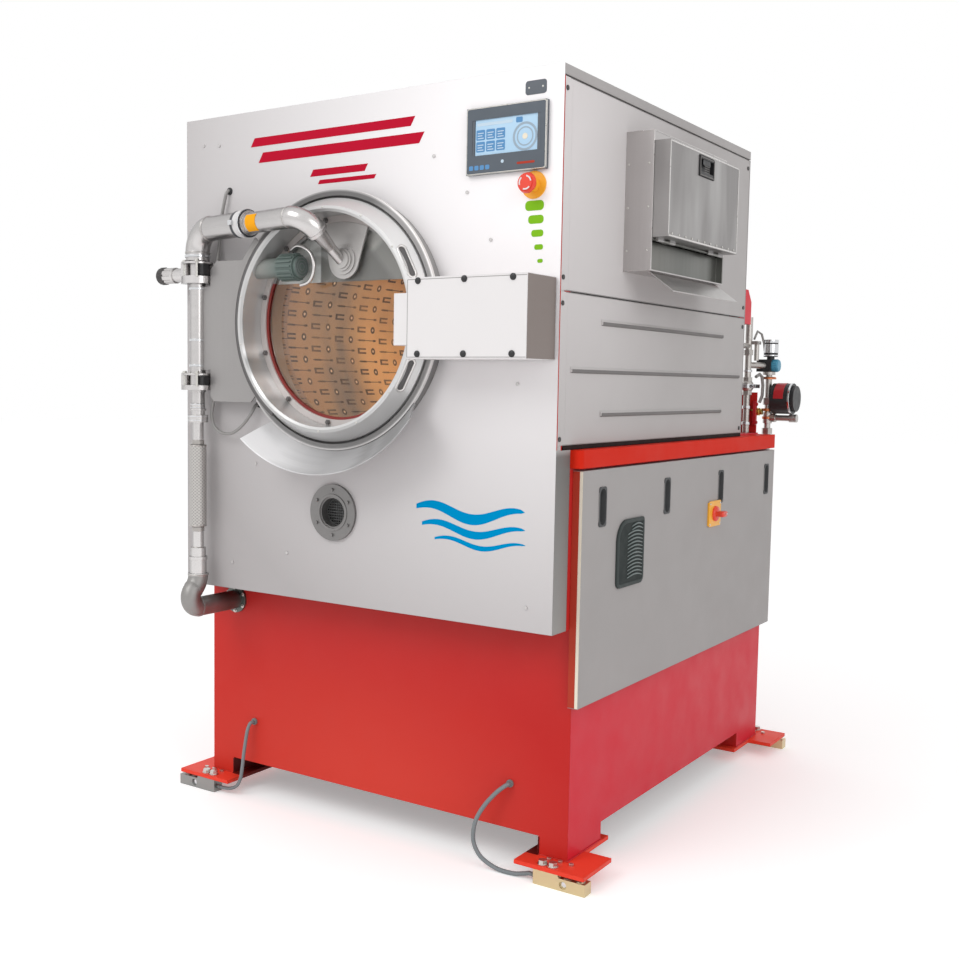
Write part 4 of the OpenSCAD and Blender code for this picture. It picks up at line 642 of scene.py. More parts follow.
def upright_slot(cy, w, z0, z1, n=11):
    r = w / 2
    return arc(cy, z1 - r, r, 0, 180, n) + arc(cy, z0 + r, r, 180, 180, n)


def spline(points, steps):
    """A smooth line through the points."""
    p = [Vector(q) for q in points]
    out = []
    for i in range(len(p) - 1):
        a, b, c, d = p[max(i - 1, 0)], p[i], p[i + 1], p[min(i + 2, len(p) - 1)]
        for s in range(steps):
            t = s / steps
            out.append(0.5 * ((2 * b) + (c - a) * t + (2 * a - 5 * b + 4 * c - d) * t * t
                              + (3 * b - a - 3 * c + d) * t ** 3))
    out.append(p[-1])
    return out


# Mesh pieces
def square_to(way):
    """Two directions square to the given one and to each other."""
    hint = Vector((1, 0, 0)) if abs(way.z) > 0.95 else Vector((0, 0, 1))
    a = way.cross(hint).normalized()
    return a, way.cross(a).normalized()


def weld(low, side, top, mid, half):
    """Profile of a weld bead round a pipe."""
    return [(low, -half), (side, -mid), (top, 0), (side, mid), (low, half)]


class Piece:
    """Collects closed shapes in panel millimetres and makes one object of them."""

    def __init__(self):
        self.verts, self.faces = [], []

    def add(self, verts, faces):
        first = len(self.verts)
        self.verts += [Vector(p) for p in verts]
        self.faces += [tuple(i + first for i in f) for f in faces]
        return self

    def box(self, x0, x1, y0, y1, z0, z1):
        v = [(x, y, z) for z in (z0, z1) for y in (y0, y1) for x in (x0, x1)]
        f = [(0, 2, 3, 1), (4, 5, 7, 6), (0, 1, 5, 4), (2, 6, 7, 3), (0, 4, 6, 2), (1, 3, 7, 5)]
        return self.add(v, f)

    def boxes(self, all_ranges):
        for ranges in all_ranges:
            self.box(*ranges)
        return self

    def lathe(self, prof, origin, axis, seg=48, closed=False, start=0.0, sweep=360.0):
        """prof: (radius, distance along the axis) points; turned round the axis through origin.
        A closed profile makes a ring. An open one begins and ends on the axis."""
        o, d = Vector(origin), Vector(axis).normalized()
        a, b = square_to(d)
        full = sweep == 360.0
        turns = [radians(start + sweep * i / seg) for i in range(seg if full else seg + 1)]
        loops = [[o + (a * cos(t) + b * sin(t)) * r + d * h for r, h in prof] for t in turns]
        if closed:
            return self.loft(loops, full)
        n = len(prof)
        f = []
        for i in range(seg):
            j = (i + 1) % seg
            f += [(i * n + k, i * n + k + 1, j * n + k + 1, j * n + k) for k in range(n - 1)]
        return self.add([p for loop in loops for p in loop], f)

    def lathes(self, prof, spots, axis, seg=48):
        for spot in spots:
            self.lathe(prof, spot, axis, seg)
        return self

    def ring(self, inner, outer, height, origin, axis, seg=32, chamfer=0, **part):
        """A tube whose outer edges are square or chamfered."""
        prof = [(inner, 0), (outer, chamfer), (outer, height - chamfer), (inner, height)]
        return self.lathe(prof, origin, axis, seg, closed=True, **part)

    def rod(self, r, length, origin, axis, seg=20):
        return self.lathe([(0, 0), (r, 0), (r, length), (0, length)], origin, axis, seg)

    def bolts(self, spots, axis, r, h, hexagon=True, washer=True):
        """Bolt or screw heads that stand on a face at the spots, along the axis."""
        disc = [(0, 0), (r * 1.45, 0), (r * 1.45, h * 0.22), (r * 1.3, h * 0.3), (0, h * 0.3)]
        head = [(0, 0), (r, 0), (r, h * 0.62), (r * 0.86, h * 0.78), (0, h * 0.8)]
        dome = [(0, 0), (r, 0), (r, h * 0.3), (r * 0.85, h * 0.6), (r * 0.45, h * 0.78), (0, h * 0.82)]
        lift = Vector(axis) * (h * 0.28 if washer else 0)
        for spot in spots:
            if washer:
                self.lathe(disc, spot, axis, 20)
            self.lathe(head if hexagon else dome, Vector(spot) + lift, axis, 6 if hexagon else 20)
        return self

    def sweep(self, pts, r, seg=12):
        """A round bar along a line; r is one radius or a list of them."""
        pts = [Vector(p) for p in pts]
        n = len(pts)
        radii = r if hasattr(r, "__len__") else [r] * n
        a, _ = square_to((pts[1] - pts[0]).normalized())
        v, f = [], []
        for i in range(n):
            t = (pts[min(i + 1, n - 1)] - pts[max(i - 1, 0)]).normalized()
            a = (a - t * a.dot(t)).normalized()
            b = t.cross(a)
            for k in range(seg):
                w = 2 * pi * k / seg
                v.append(pts[i] + (a * cos(w) + b * sin(w)) * radii[i])
        return self.skin(v, seg, n)

    def skin(self, verts, n, count, closed=False):
        """Faces over count loops of n points; capped at both ends unless closed into a ring."""
        f = []
        for i in range(count if closed else count - 1):
            j = (i + 1) % count
            f += [(i * n + k, i * n + (k + 1) % n, j * n + (k + 1) % n, j * n + k) for k in range(n)]
        if not closed:
            f += [tuple(range(n)), tuple((count - 1) * n + k for k in range(n))]
        return self.add(verts, f)

    def loft(self, loops, closed=False):
        return self.skin([p for loop in loops for p in loop], len(loops[0]), len(loops), closed)

    def loft_x(self, steps, closed=False):
        """Joins outlines that face along X; a step is (outline, x)."""
        return self.loft([[(x, *p) for p in pts] for pts, x in steps], closed)

    def loft_y(self, steps, closed=False):
        """Joins outlines that face along Y; a step is (outline, y)."""
        return self.loft([[(x, y, z) for x, z in pts] for pts, y in steps], closed)

    def slab_x(self, pts, x0, x1):
        return self.loft_x([(pts, x0), (pts, x1)])

    def slab_y(self, pts, y0, y1):
        return self.loft_y([(pts, y0), (pts, y1)])

    def washer(self, outer, inner, y0, y1):
        """A flat ring between two upright outlines."""
        return self.loft_y([(outer, y0), (outer, y1), (inner, y1), (inner, y0)], closed=True)

    def tile(self, x0, x1, z0, z1, r, y, n=3, thick=0.3):
        """A thin rectangle with round corners, in front of y."""
        return self.slab_y(rounded(x0, x1, z0, z1, r, n), y - thick, y)

    def knurl(self, x0, x1, cy, cz, r, count, thick):
        """Grip ribs round a cap that points along X."""
        for y, z in circle(cy, cz, r, count):
            self.sweep([(x0, y, z), (x1, y, z)], thick, 6)
        return self

    def bead(self, pts, r=2.4):
        """A weld bead: a rope of small ripples along the line."""
        line, radii = [], []
        for a, b in zip(pts, pts[1:]):
            a, b = Vector(a), Vector(b)
            n = max(2, int((b - a).length / 3.2))
            for k in range(n):
                line.append(a.lerp(b, k / n))
                radii.append(r * (1.0 + 0.16 * sin(len(radii) * 1.9)))
        return self.sweep(line + [Vector(pts[-1])], radii + [r], 6)

    def make(self, name, mat, body="machine", bevel=0.0, smooth=35):
        mesh = bpy.data.meshes.new(name)
        mesh.from_pydata([P(*v) for v in self.verts], [], self.faces)
        bm = bmesh.new()
        bm.from_mesh(mesh)
        bmesh.ops.recalc_face_normals(bm, faces=bm.faces)
        bm.to_mesh(mesh)
        bm.free()
        mesh.materials.append(mat.made)
        made = place(name, mesh)
        if bevel:
            b = made.modifiers.new("bevel", "BEVEL")
            b.width = bevel / 1000
            b.segments = 2
            b.limit_method = "ANGLE"
            b.angle_limit = radians(40)
        mesh.shade_smooth()
        mesh.set_sharp_from_angle(angle=radians(smooth))
        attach(made, body)
        return made


# Free cables between gland and load cell, and the clipped hose, through the same points as the solids
ROUTES = {
    "load_cable_right": [
        (493, 112, 241), (493, 109, 241), (493, 106, 241), (486, 99, 236), (463, 90, 214), (434, 78, 176),
        (414, 68, 136), (407, 63, 98), (412, 60, 62), (438, 58, 30), (488, 58, 10), (540, 61, 7),
        (572, 68, 12), (588, 69, 17), (594, 69, 17), (600, 69, 17)],
    "load_cable_left": [
        (-493, 112, 249), (-493, 109, 249), (-493, 106, 249), (-496, 99, 244), (-502, 94, 222),
        (-508, 90, 178), (-512, 86, 136), (-514, 82, 96), (-518, 78, 62), (-531, 74, 34), (-556, 70, 21),
        (-586, 69, 17), (-593, 69, 17), (-600, 69, 17)],
    "thin_hose": [
        (-493, -0.5, 1967), (-493, -4, 1967), (-493, -7.5, 1967), (-496, -14, 1955), (-508, -15, 1910),
        (-519, -14, 1868), (-523, -15, 1810), (-523, -24, 1750), (-523, -30, 1690), (-523, -30, 1550),
        (-523, -30, 1410), (-524, -30, 1365), (-527, -30, 1335), (-536, -30, 1302), (-542, -30, 1266),
        (-530, -30, 1232), (-500, -30, 1214), (-462, -30, 1212), (-432, -30, 1224), (-400, -30, 1248),
        (-376, -28, 1276), (-367, -20, 1298), (-366, -9, 1307), (-366, -4.5, 1307), (-366, -0.5, 1307)],
}
CORDS = (("load_cable_right", CABLE, 6.4, "hanging"), ("load_cable_left", CABLE, 5.8, "hanging"),
         ("thin_hose", HOSE, 5.0, "loose"))
for name, mat, r, lay in CORDS:
    line = spline(ROUTES[name], 6)
    cable = Piece().sweep(line, r, 14).make("cord_" + name, mat)
    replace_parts(cable, name)
    path = [P(*q) for q in line]
    0.002 * r

# Print on the front panel: plain red stripes, blue ribbons, green bars, one dark plate
part = Piece()
stripes = ((-404, 214, 2106, 26), (-372, 246, 2058, 30), (-166, 50, 1994, 20), (-136, 80, 1966, 12))
for x0, x1, z, h in stripes:
    slant, z0, z1 = h * 0.6, z - h / 2, z + h / 2
    part.slab_y([(x0, z0), (x1 - slant, z0), (x1, z1), (x0 + slant, z1)], -0.5, -0.05)
part.make("print_red_stripes", PRINT)
part = Piece()
for x0, x1, z0, thick, swing in ((236, 590, 1022, 30, 17), (256, 592, 976, 22, 14), (300, 594, 938, 14, 11)):
    top, low = [], []
    for i in range(33):
        t = i / 32
        x = x0 + t * (x1 - x0)
        z = z0 + swing * sin(2 * pi * t * 1.25 + 0.5)
        h = thick * (0.25 + 0.75 * sin(pi * min(1.0, 0.06 + 0.94 * t)) ** 0.8) if t < 0.97 else 1.2
        top.append((x, z + h / 2))
        low.append((x, z - h / 2))
    for i in range(32):
        part.slab_y([low[i], low[i + 1], top[i + 1], top[i]], -0.5, -0.05)
part.make("print_blue_ribbons", BLUE)
part = Piece()
for k in range(5):
    w, h, z = 56 - 10 * k, 26 - 4 * k, 1846 - 36 * k
    part.tile(628 - w, 628, z - h / 2, z + h / 2, h * 0.42, -0.05, 5, 0.45)
part.make("print_green_bars", GREEN)
Piece().tile(566, 629, 2131, 2167, 8, -0.05, 5, 1.15).make("small_plate", SLATE, bevel=0.4)
spots = [(577, -1.2, 2149), (618, -1.2, 2149)]
Piece().bolts(spots, FRONT, 2.6, 1.4, False, False).make("small_plate_rivets", BOLT)

# Lock housing: plugs, a steel sheet on its right side darkened as painted shade and reflection, seams
plug = [(0, 0), (9.0, 0), (9.0, 1.5), (8.1, 3.0), (5.5, 4.1), (0, 4.6)]
spots = [(x, -153, z) for x in (338, 484, 630) for z in (1456, 1649)]
Piece().lathes(plug, spots, FRONT, 28).make("lock_plugs", BLACK, "door")
Piece().box(672.05, 672.6, -151.5, -5.5, 1444.5, 1656.5).make("lock_right_shade_sheet", LOCK_RIGHT_SHADE, "door", 0.2)
part = Piece().box(303.6, 305.2, -153.5, -152.9, 1447, 1653)
part.boxes((304.5, 670.5, -153.5, -152.9, z - 0.8, z + 0.8) for z in (1447.5, 1652.5))
part.make("lock_front_folds", FOLD, "door", 0.2)


# Touch panel: glass, bezel line, screen blocks
def touch_outline(inset, r):
    return rounded(394 + inset, 638 - inset, 1937.5 + inset, 2112.5 - inset, r)


part = Piece().washer(touch_outline(3, 6), rounded(412.5, 619.5, 1987, 2080, 3), -14.05, -15.1)
part.make("panel_glass_border", PANEL_GLASS, bevel=0.3)
steps = ((-0.6, -10), (-0.6, -13.2), (1.2, -15.0), (2.6, -15.0), (2.6, -14.1), (0.2, -14.1), (0.2, -10))
Piece().loft_y([(touch_outline(inset, 5), y) for inset, y in steps], True).make("panel_rim", BOLT)
SCREEN_Y, GLASS_Y = -12.1, -15.1
tiles = Piece().tile(546, 566, 2062, 2076, 3, SCREEN_Y)
lines = Piece().tile(426, 536, 2064, 2072, 3, SCREEN_Y)
for x in (424, 455, 486):
    for z in (1996, 2027):
        tiles.tile(x, x + 27, z, z + 27, 3, SCREEN_Y)
        for k in range(3):
            low = z + 4 + k * 6.6
            lines.tile(x + 4, x + 23 - 4 * (k % 2), low, low + 2.4, 1, SCREEN_Y - 0.3, 2, 0.25)
tiles.make("screen_tiles", TILE)
lines.make("screen_lines", TILE_PALE)
part = Piece()
for outer, inner in ((37, 31), (25, 21.5)):
    part.washer(circle(574, 2025, outer), circle(574, 2025, inner), SCREEN_Y, SCREEN_Y - 0.3)
part.make("screen_rings", TILE_GREY)
Piece().slab_y(circle(574, 2025, 8), SCREEN_Y - 0.3, SCREEN_Y).make("screen_hub", CREAM)
part = Piece()
for k in range(4):
    part.tile(404 + 17 * k, 417 + 17 * k, 1949, 1961, 3, GLASS_Y)
part.make("panel_keys", TILE)
Piece().tile(552, 606, 1954, 1960, 2.8, GLASS_Y).make("panel_bar", RED_SHADE)
lamp = [(0, 0), (4.5, 0), (4.5, 0.5), (3, 1.1), (0, 1.2)]
Piece().lathe(lamp, (508, GLASS_Y, 1966), FRONT, 20).make("panel_lamp", TILE_PALE)

# Emergency stop: three bars on the button, ticks round its base
STOP = (598, 1899)
part = Piece()
for k in range(3):
    part.slab_y(sector(*STOP, 15, 19, 120 * k + 10, degrees(1.2), 10), -49.35, -49.0)
part.make("stop_button_marks", LOCK, "stop")
part = Piece()
for k in range(24):
    part.slab_y(sector(*STOP, 34.2, 35.8, 15 * k - degrees(0.05), degrees(0.1), 1), -4.4, -3.6)
part.make("stop_base_ticks", AMBER)

# Service panel: black grips, vent, yellow switch plate, cream front edge
part = Piece()
for y in (218, 662, 1112, 1570):
    z0, z1 = 990, 1099
    back = upright_slot(y, 37.4, z0 + 3.3, z1 - 3.3)
    flange = rounded(y - 23.4, y + 23.4, z0 - 1.4, z1 + 1.4, 9, 5)
    front = rounded(y - 22.4, y + 22.4, z0 - 0.4, z1 + 0.4, 8.5, 5)
    mouth = upright_slot(y, 36.6, z0 + 3.7, z1 - 3.7)
    floor = upright_slot(y, 35.0, z0 + 4.5, z1 - 4.5)
    part.loft_x([(back, 695.4), (back, 712.3), (flange, 712.3), (flange, 713.9), (front, 714.5),
                 (mouth, 714.5), (floor, 696.2)])
part.make("panel_grips", GRIP, "panel", smooth=40)
VENT_Y0, VENT_Y1, VENT_Z0, VENT_Z1 = 311, 491, 801, 996


def vent_outline(inset):
    """A tall rectangle whose upper front corner is one large quarter circle."""
    corners = ((VENT_Y1 - 20, VENT_Z0 + 20, 20, 270), (VENT_Y1 - 12, VENT_Z1 - 12, 12, 0),
               (VENT_Y0 + 62, VENT_Z1 - 62, 62, 90), (VENT_Y0 + 20, VENT_Z0 + 20, 20, 180))
    return [p for cy, cz, r, first in corners for p in arc(cy, cz, max(r - inset, 0.5), first, 90, 14)]


steps = ((-0.6, 712.3), (-0.6, 717.4), (3, 719.2), (9, 719.2), (11, 717.6), (11, 717.15), (0.6, 717.15),
         (0.6, 712.3))
Piece().loft_x([(vent_outline(inset), x) for inset, x in steps], True).make("vent_bezel", VENT, "panel")
Piece().slab_x(vent_outline(10.8), 717.05, 717.4).make("vent_field", VENT_DARK, "panel")
part = Piece()
for k in range(15):
    z = VENT_Z0 + 24 + k * 10.6
    y0 = VENT_Y0 + 66 if z < VENT_Z1 - 40 else VENT_Y0 + 92
    arch = [sin(pi * i / 16) for i in range(17)]
    line = [(718.3 + 1.1 * a, y0 + (VENT_Y1 - 14 - y0) * i / 16, z + 7.5 * a) for i, a in enumerate(arch)]
    part.sweep(line, [1.2 + 1.2 * a for a in arch], 8)
part.make("vent_slats", SLAT, "panel")

SWITCH_Y, SWITCH_Z = 1054, 958


def switch_outline(half_y, half_z, r=6, n=7):
    return rounded(SWITCH_Y - half_y, SWITCH_Y + half_y, SWITCH_Z - half_z, SWITCH_Z + half_z, r, n)


def drawn_to_circle(pts, r):
    """The points moved on to a circle about the switch."""
    out = []
    for y, z in pts:
        share = r / hypot(y - SWITCH_Y, z - SWITCH_Z)
        out.append((SWITCH_Y + (y - SWITCH_Y) * share, SWITCH_Z + (z - SWITCH_Z) * share))
    return out


outer, back = switch_outline(52.6, 42.6), switch_outline(52.1, 42.1)
hole = drawn_to_circle(outer, 27.2)
part = Piece().loft_x([(outer, 712.1), (outer, 717.9), (switch_outline(51, 41), 718.7), (hole, 718.7),
                       (hole, 717.05), (back, 717.05), (back, 712.1)], True)
part.make("switch_plate", YELLOW, "panel")
spots = [(718.7, y, z) for y in (1010, 1098) for z in (924, 992)]
Piece().bolts(spots, RIGHT, 3.6, 2.2, False, False).make("switch_plate_screws", BOLT, "panel")
dial = [(0, -18), (11.9, -18), (11.9, 0.4), (25.6, 0.4), (25.6, 5), (23.6, 9.5), (15, 12.5), (0, 13)]
part = Piece().lathe(dial, (717, SWITCH_Y, SWITCH_Z), RIGHT, 48)
steps = ((727, 22, 9), (735, 21, 8.6), (746, 23, 9.6), (752, 22.4, 9.2), (754, 20.5, 7.6))
part.loft_x([(switch_outline(a, b, b * 0.9, 6), x) for x, a, b in steps])
part.bolts([(754, SWITCH_Y, SWITCH_Z)], RIGHT, 3.2, 0.6, False, False)
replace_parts(part.make("switch_grip", KNOB, "switch", smooth=50), "switch_knob")
Piece().box(754.05, 754.5, 1064, 1073, 956, 960).make("switch_pointer", LOCK, "switch")
Piece().box(702.5, 711.8, 97.2, 97.95, 499, 1148).make("panel_front_edge", CREAM, "panel")
Piece().box(681.6, 702.4, 97.2, 97.95, 499, 1148).make("panel_edge_shade", RED_SHADE, "panel")
Piece().box(682, 711.7, 98.5, 1653.5, 497.2, 497.95).make("panel_low_edge", FOLD, "panel")

# Dispenser: folded edges paled as painted highlights, rivets, latch recess
# Folded edges of the lid, paled as painted highlights
part = Piece().boxes((812.05, 812.9, 379, 911, z - 2.2, z + 2.2) for z in (1799.5, 2058.5))
part.boxes((812.05, 812.9, y - 2.2, y + 2.2, 1798, 2060) for y in (380, 910))
part.make("lid_fold_highlights", EDGE, "lid", 0.3)
rivet = [(0, 0), (3.4, 0), (3.1, 1.3), (1.8, 2.0), (0, 2.2)]
spots = [(812.6, 404 + 48 * k, 1806) for k in range(11)]
Piece().lathes(rivet, spots, RIGHT, 14).make("lid_rivets", BOLT, "lid")
# Folded edges of the box, paled as painted highlights
part = Piece().box(765.05, 765.9, 374, 922, 2088.5, 2090.8)
part.boxes((765.05, 765.9, y - 1.5, y + 1.5, 1790, 2090) for y in (373.5, 922.5))
part.boxes((683, 764, 371.1, 371.95, z - 1, z + 1) for z in (1704, 2090.2))
part.make("dispenser_edge_highlights", EDGE, bevel=0.3)
rivet = [(0, 0), (3.2, 0), (2.9, 1.2), (1.6, 1.8), (0, 2)]
spots = [(x, 371.95, z) for z in (1760, 1880, 2000) for x in (690, 752)]
Piece().lathes(rivet, spots, FRONT, 14).make("dispenser_rivets", BOLT)
part = Piece().boxes((815.05, 816.2, 588, 698, z0, z1) for z0, z1 in ((1994.5, 1998), (2046, 2049)))
part.boxes((815.05, 816.2, y, y + 4, 1996, 2048) for y in (588, 694))
part.boxes((813.4, 814.4, 622, 664, z, z + 2.4) for z in (2006, 2012, 2018, 2024))
part.make("latch_frame", LATCH, "latch", 0.4)

# Side panels: painted shade, dark strips on the pressed ribs; hems
part = Piece()
rib = [(686.03, 1.5), (686.6, 1.2), (686.6, -6.3), (681.7, -9.0), (681.04, -8.4), (686.03, -5.9)]
for y0, y1, z in ((243, 1163, 1553), (67, 1330, 1420), (248, 1165, 1301)):
    for side in (1, -1):
        part.slab_y([(side * a, z + b) for a, b in rib], y0 + 3, y1 - 3)
part.make("rib_shade_strips", SEAM_AND_RIB_SHADE)
part = Piece().boxes((681.05, 681.7, 1368.3, 1370.7, z0, z1) for z0, z1 in ((1221, 1621), (1627, 2167)))
part.boxes((681.05, 681.7, 32, 1369, z - 1.0, z + 1.0) for z in (1220.5, 1621.3, 1626.8, 2167.8))
part.make("side_hems", FOLD, bevel=0.2)

# Right front corner: the red frame shows at the edge, the fold behind it is closed
Piece().box(681.03, 681.6, 0.8, 4.0, 1208, 2170).make("corner_line", RIM_RED)
part = Piece().boxes((681.03, 681.3, 4.1, 44, z0, z1) for z0, z1 in ((1219.6, 1622.4), (1625.6, 2168.6)))
part.make("corner_fold", GREY)

# Painted shade: a dark strip in the gap between the side panels and the rim
part = Piece().boxes((x, x + 1.7, 36, 1370, 1206.6, 1218.9) for x in (679.2, -680.9))
part.make("rim_gap", GAP_SHADE)


# Door: rivets on the ring, a dark band of painted shadow with a pale edge round the left of its lip, weld
# lines
def off_door(turn, r, y):
    """The point at an angle in degrees and a distance from the door's axis."""
    a = radians(turn)
    return (DX + r * cos(a), y, DZ + r * sin(a))


rivet = [(0, 0), (3.4, 0), (3.0, 1.2), (1.6, 1.9), (0, 2.1)]
spots = [off_door(360 / 14 * k + 12, 320, -98) for k in range(14)]
hidden = [s for s in spots if s[0] > 240 and abs(s[2] - DZ) < 130]
Piece().lathes(rivet, [s for s in spots if s not in hidden], FRONT, 12).make("ring_rivets", BOLT, "door")
# A dark band of painted shadow by the lip of the ring, and its pale outer edge
shadow_band_and_edge = (("ring_shadow_band", SEAL_AND_SHADOW, [(324.6, -97.2), (336.5, -94.6), (338.5, -88), (330, -86.5)]),
         ("ring_shadow_band_edge", FOLD, [(337.2, -95.2), (340.2, -94.2), (341, -89.2), (338.9, -88)]))
for name, mat, prof in shadow_band_and_edge:
    turns = [118 + 118 * k / 36 for k in range(37)]
    Piece().loft([[off_door(turn, r, y) for r, y in prof] for turn in turns]).make(name, mat, "door")
Piece().ring(358.3, 363.3, 26.5, (DX, 140.6, DZ), BACK, 96).make("mouth_ring", DRUM)
part = Piece()
for inner, outer, y in ((284.6, 286.2, 11.6), (307.0, 308.0, -8.0)):
    part.washer(circle(DX, DZ, outer, 96), circle(DX, DZ, inner, 96), y, y - 0.8)
part.make("ring_weld_lines", FOLD, "door")


# Door: raised lips, floors and liners of the two slots in the ring
FLARE_R, FLARE_Y = 333.5, -81.8
SLOPE_OUT, SLOPE_BACK = 0.506, 0.863


def on_flare(centre, half_length, half_width, height):
    """Outline of a slot with round ends, at a height above the flared face of the ring."""
    flat = half_length - half_width
    outline = arc(flat, 0, half_width, -90, 180, 10) + arc(-flat, 0, half_width, 90, 180, 10)
    out = []
    for s, w in outline:
        r = FLARE_R + SLOPE_OUT * w + SLOPE_BACK * height
        y = FLARE_Y + SLOPE_BACK * w - SLOPE_OUT * height
        out.append(off_door(centre + degrees(s / FLARE_R), r, y))
    return out


LIP = ((53, 15.5, 0.1), (52.4, 14.9, 1.8), (50.5, 13.0, 2.8), (47.5, 10.0, 2.6), (46.0, 8.5, 1.2),
       (46.0, 8.5, -5.0))
lips, floors, liners = Piece(), Piece(), Piece()
for centre, first in ((28, 21), (-28, -35)):
    lips.loft([on_flare(centre, *step) for step in LIP], closed=True)
    floors.loft([on_flare(centre, 45.9, 8.4, height) for height in (-1.5, -2.5)])
    liners.slab_y(sector(DX, DZ, 329.8, 337.2, first, 14, 12), -66, -60)
lips.make("slot_lips", EDGE, "door", smooth=50)
floors.make("slot_floors", SEAL_AND_SHADOW, "door")

# Door: strap and cap of the lamp
strap = [(-196, -47, 1766), (-172, -52, 1776), (-140, -56, 1770), (-112, -58, 1750), (-101, -58, 1720),
         (-106, -56, 1692), (-126, -52, 1670), (-158, -50, 1662)]
Piece().sweep(spline(strap, 6), 5.5).make("lamp_strap", EDGE, "door")
part = Piece()
for r in (29.5, 20.5, 11.5):
    prof = [(r - 2.6, 0), (r, 0), (r, 0.9), (r - 1.3, 1.6), (r - 2.6, 0.9)]
    part.lathe(prof, (-149.95, -54, 1715), RIGHT, 40, closed=True)
part.make("lamp_cap_rings", GLAND, "door")
liners.make("slot_liners", BLACK, "door")

# Sampling port: strainer bars and lip
PORT_X, PORT_Z = -65, 990
part = Piece().washer(circle(PORT_X, PORT_Z, 42.6, 40), circle(PORT_X, PORT_Z, 38, 40), 22, 18)
for k in range(-4, 5):
    off = k * 8.2
    w = sqrt(38.5 ** 2 - off ** 2)
    part.box(PORT_X - w, PORT_X + w, 19, 20.6, PORT_Z + off - 1.3, PORT_Z + off + 1.3)
    part.box(PORT_X + off - 1.3, PORT_X + off + 1.3, 20.6, 22, PORT_Z - w, PORT_Z + w)
part.make("port_strainer", STRAINER)
part = Piece().washer(circle(PORT_X, PORT_Z, 56, 40), circle(PORT_X, PORT_Z, 47.6, 40), -9.05, -11.4)
part.make("port_lip", DULL, bevel=0.8)


# Spray arm: hose clip, amber band, weld rings, side cap
def arm(s):
    return ARM_START + ARM_WAY * s


part = Piece().ring(40.6, 42.4, 6, arm(194), ARM_WAY, 56)
ear = arm(159)
part.box(ear.x - 5, ear.x + 7, ear.y - 52, ear.y - 41, 1838, 1852)
part.make("arm_clip", CHROME, "door", 0.3)
part = Piece().ring(31.0, 31.9, 48, arm(222), ARM_WAY, 40, start=-38, sweep=100)
part.make("arm_amber_band", AMBER, "door")
part = Piece().lathe(weld(31.4, 32.7, 33.1, 1.2, 2.4), arm(398), ARM_WAY, 48, closed=True)
for centre, way in ((ARM_START, ARM_WAY), ((POST_X, POST_Y, 1775), UP)):
    part.lathe(weld(38.1, 39.3, 39.8, 1.2, 2.4), centre, way, 56, closed=True)
part.make("arm_welds", WELD, "door")
cap = [(0, -2), (24, -2), (25.6, 0), (25.6, 3), (26.4, 4), (26.4, 22), (25.6, 23), (25.2, 24), (0, 24)]
part = Piece().lathe(cap, (-737.5, -57, 1709), RIGHT, 40)
part.knurl(-734, -716, -57, 1709, 26.6, 20, 1.4).make("stub_cap", DARK_BOLT)

# Hinge: rubber blocks, flange bolts, collar rings on the post
part = Piece().boxes((-548, -522, -88, -60, z0, z1) for z0, z1 in ((1704, 1738), (1364, 1391)))
part.make("hinge_blocks", BLACK, bevel=2)
part = Piece()
for z0, z1 in ((1702, 1740), (1362, 1393)):
    for x, y in ((-616, -45), (-611, -80), (-543, -93)):
        part.rod(4.2, z1 - z0 + 10, (x, y, z0 - 4), UP, 12).bolts([(x, y, z1 + 6)], UP, 7, 7)
part.make("hinge_bolts", BOLT)
part = Piece()
for z, r in ((1420, 27), (1500, 26), (1660, 27), (1760, 40.5)):
    part.ring(r - 2, r, 8, (POST_X, POST_Y, z), UP, 48, 0.6)
part.make("post_rings", CHROME, "door")

# Supply pipe: weld rings, clip bands, flange bolts
part = Piece()
for z, r in ((758, 33.2), (845, 18.6), (1171.5, 27.2), (915.5, 27.2)):
    part.lathe(weld(r - 1.6, r, r + 0.6, 1.4, 2.6), (POST_X, POST_Y, z), UP, 48, closed=True)
for z in (1182, 904):
    part.ring(17.6, 19.6, 14, (POST_X, POST_Y, z - 7), UP, 48, 1)
part.make("pipe_welds", WELD)
spots = [(x, 112.9, z) for x, z in arc(POST_X, 652, 38, 30, 300, 5)]
Piece().bolts(spots, FRONT, 4.6, 5).make("pipe_flange_bolts", BOLT)
part = Piece()
for z, r in ((1250, 32.6), (1262, 32.6), (1290, 23.6), (1300, 23.6)):
    part.ring(21.6, r, 3.8, (POST_X, POST_Y, z), UP, 48, 0.6)
part.make("union_rings", CHROME)

# Clips and grommets of the thin hose
part = Piece()
for z in (1620, 1480):
    part.ring(5.3, 7.2, 12, (-523, -30, z - 6), UP, 28)
    part.box(-525.5, -520.5, -23.5, 0, z - 6, z + 6)
part.make("hose_clips", BOLT, bevel=0.4)
part = Piece()
for x, z in ((-493, 1967), (-366, 1307)):
    part.lathe([(5.6, 0), (12, 0), (11, 3), (7.5, 5.5), (5.6, 5.5)], (x, 0, z), FRONT, 32, closed=True)
part.make("hose_grommets", BLACK)

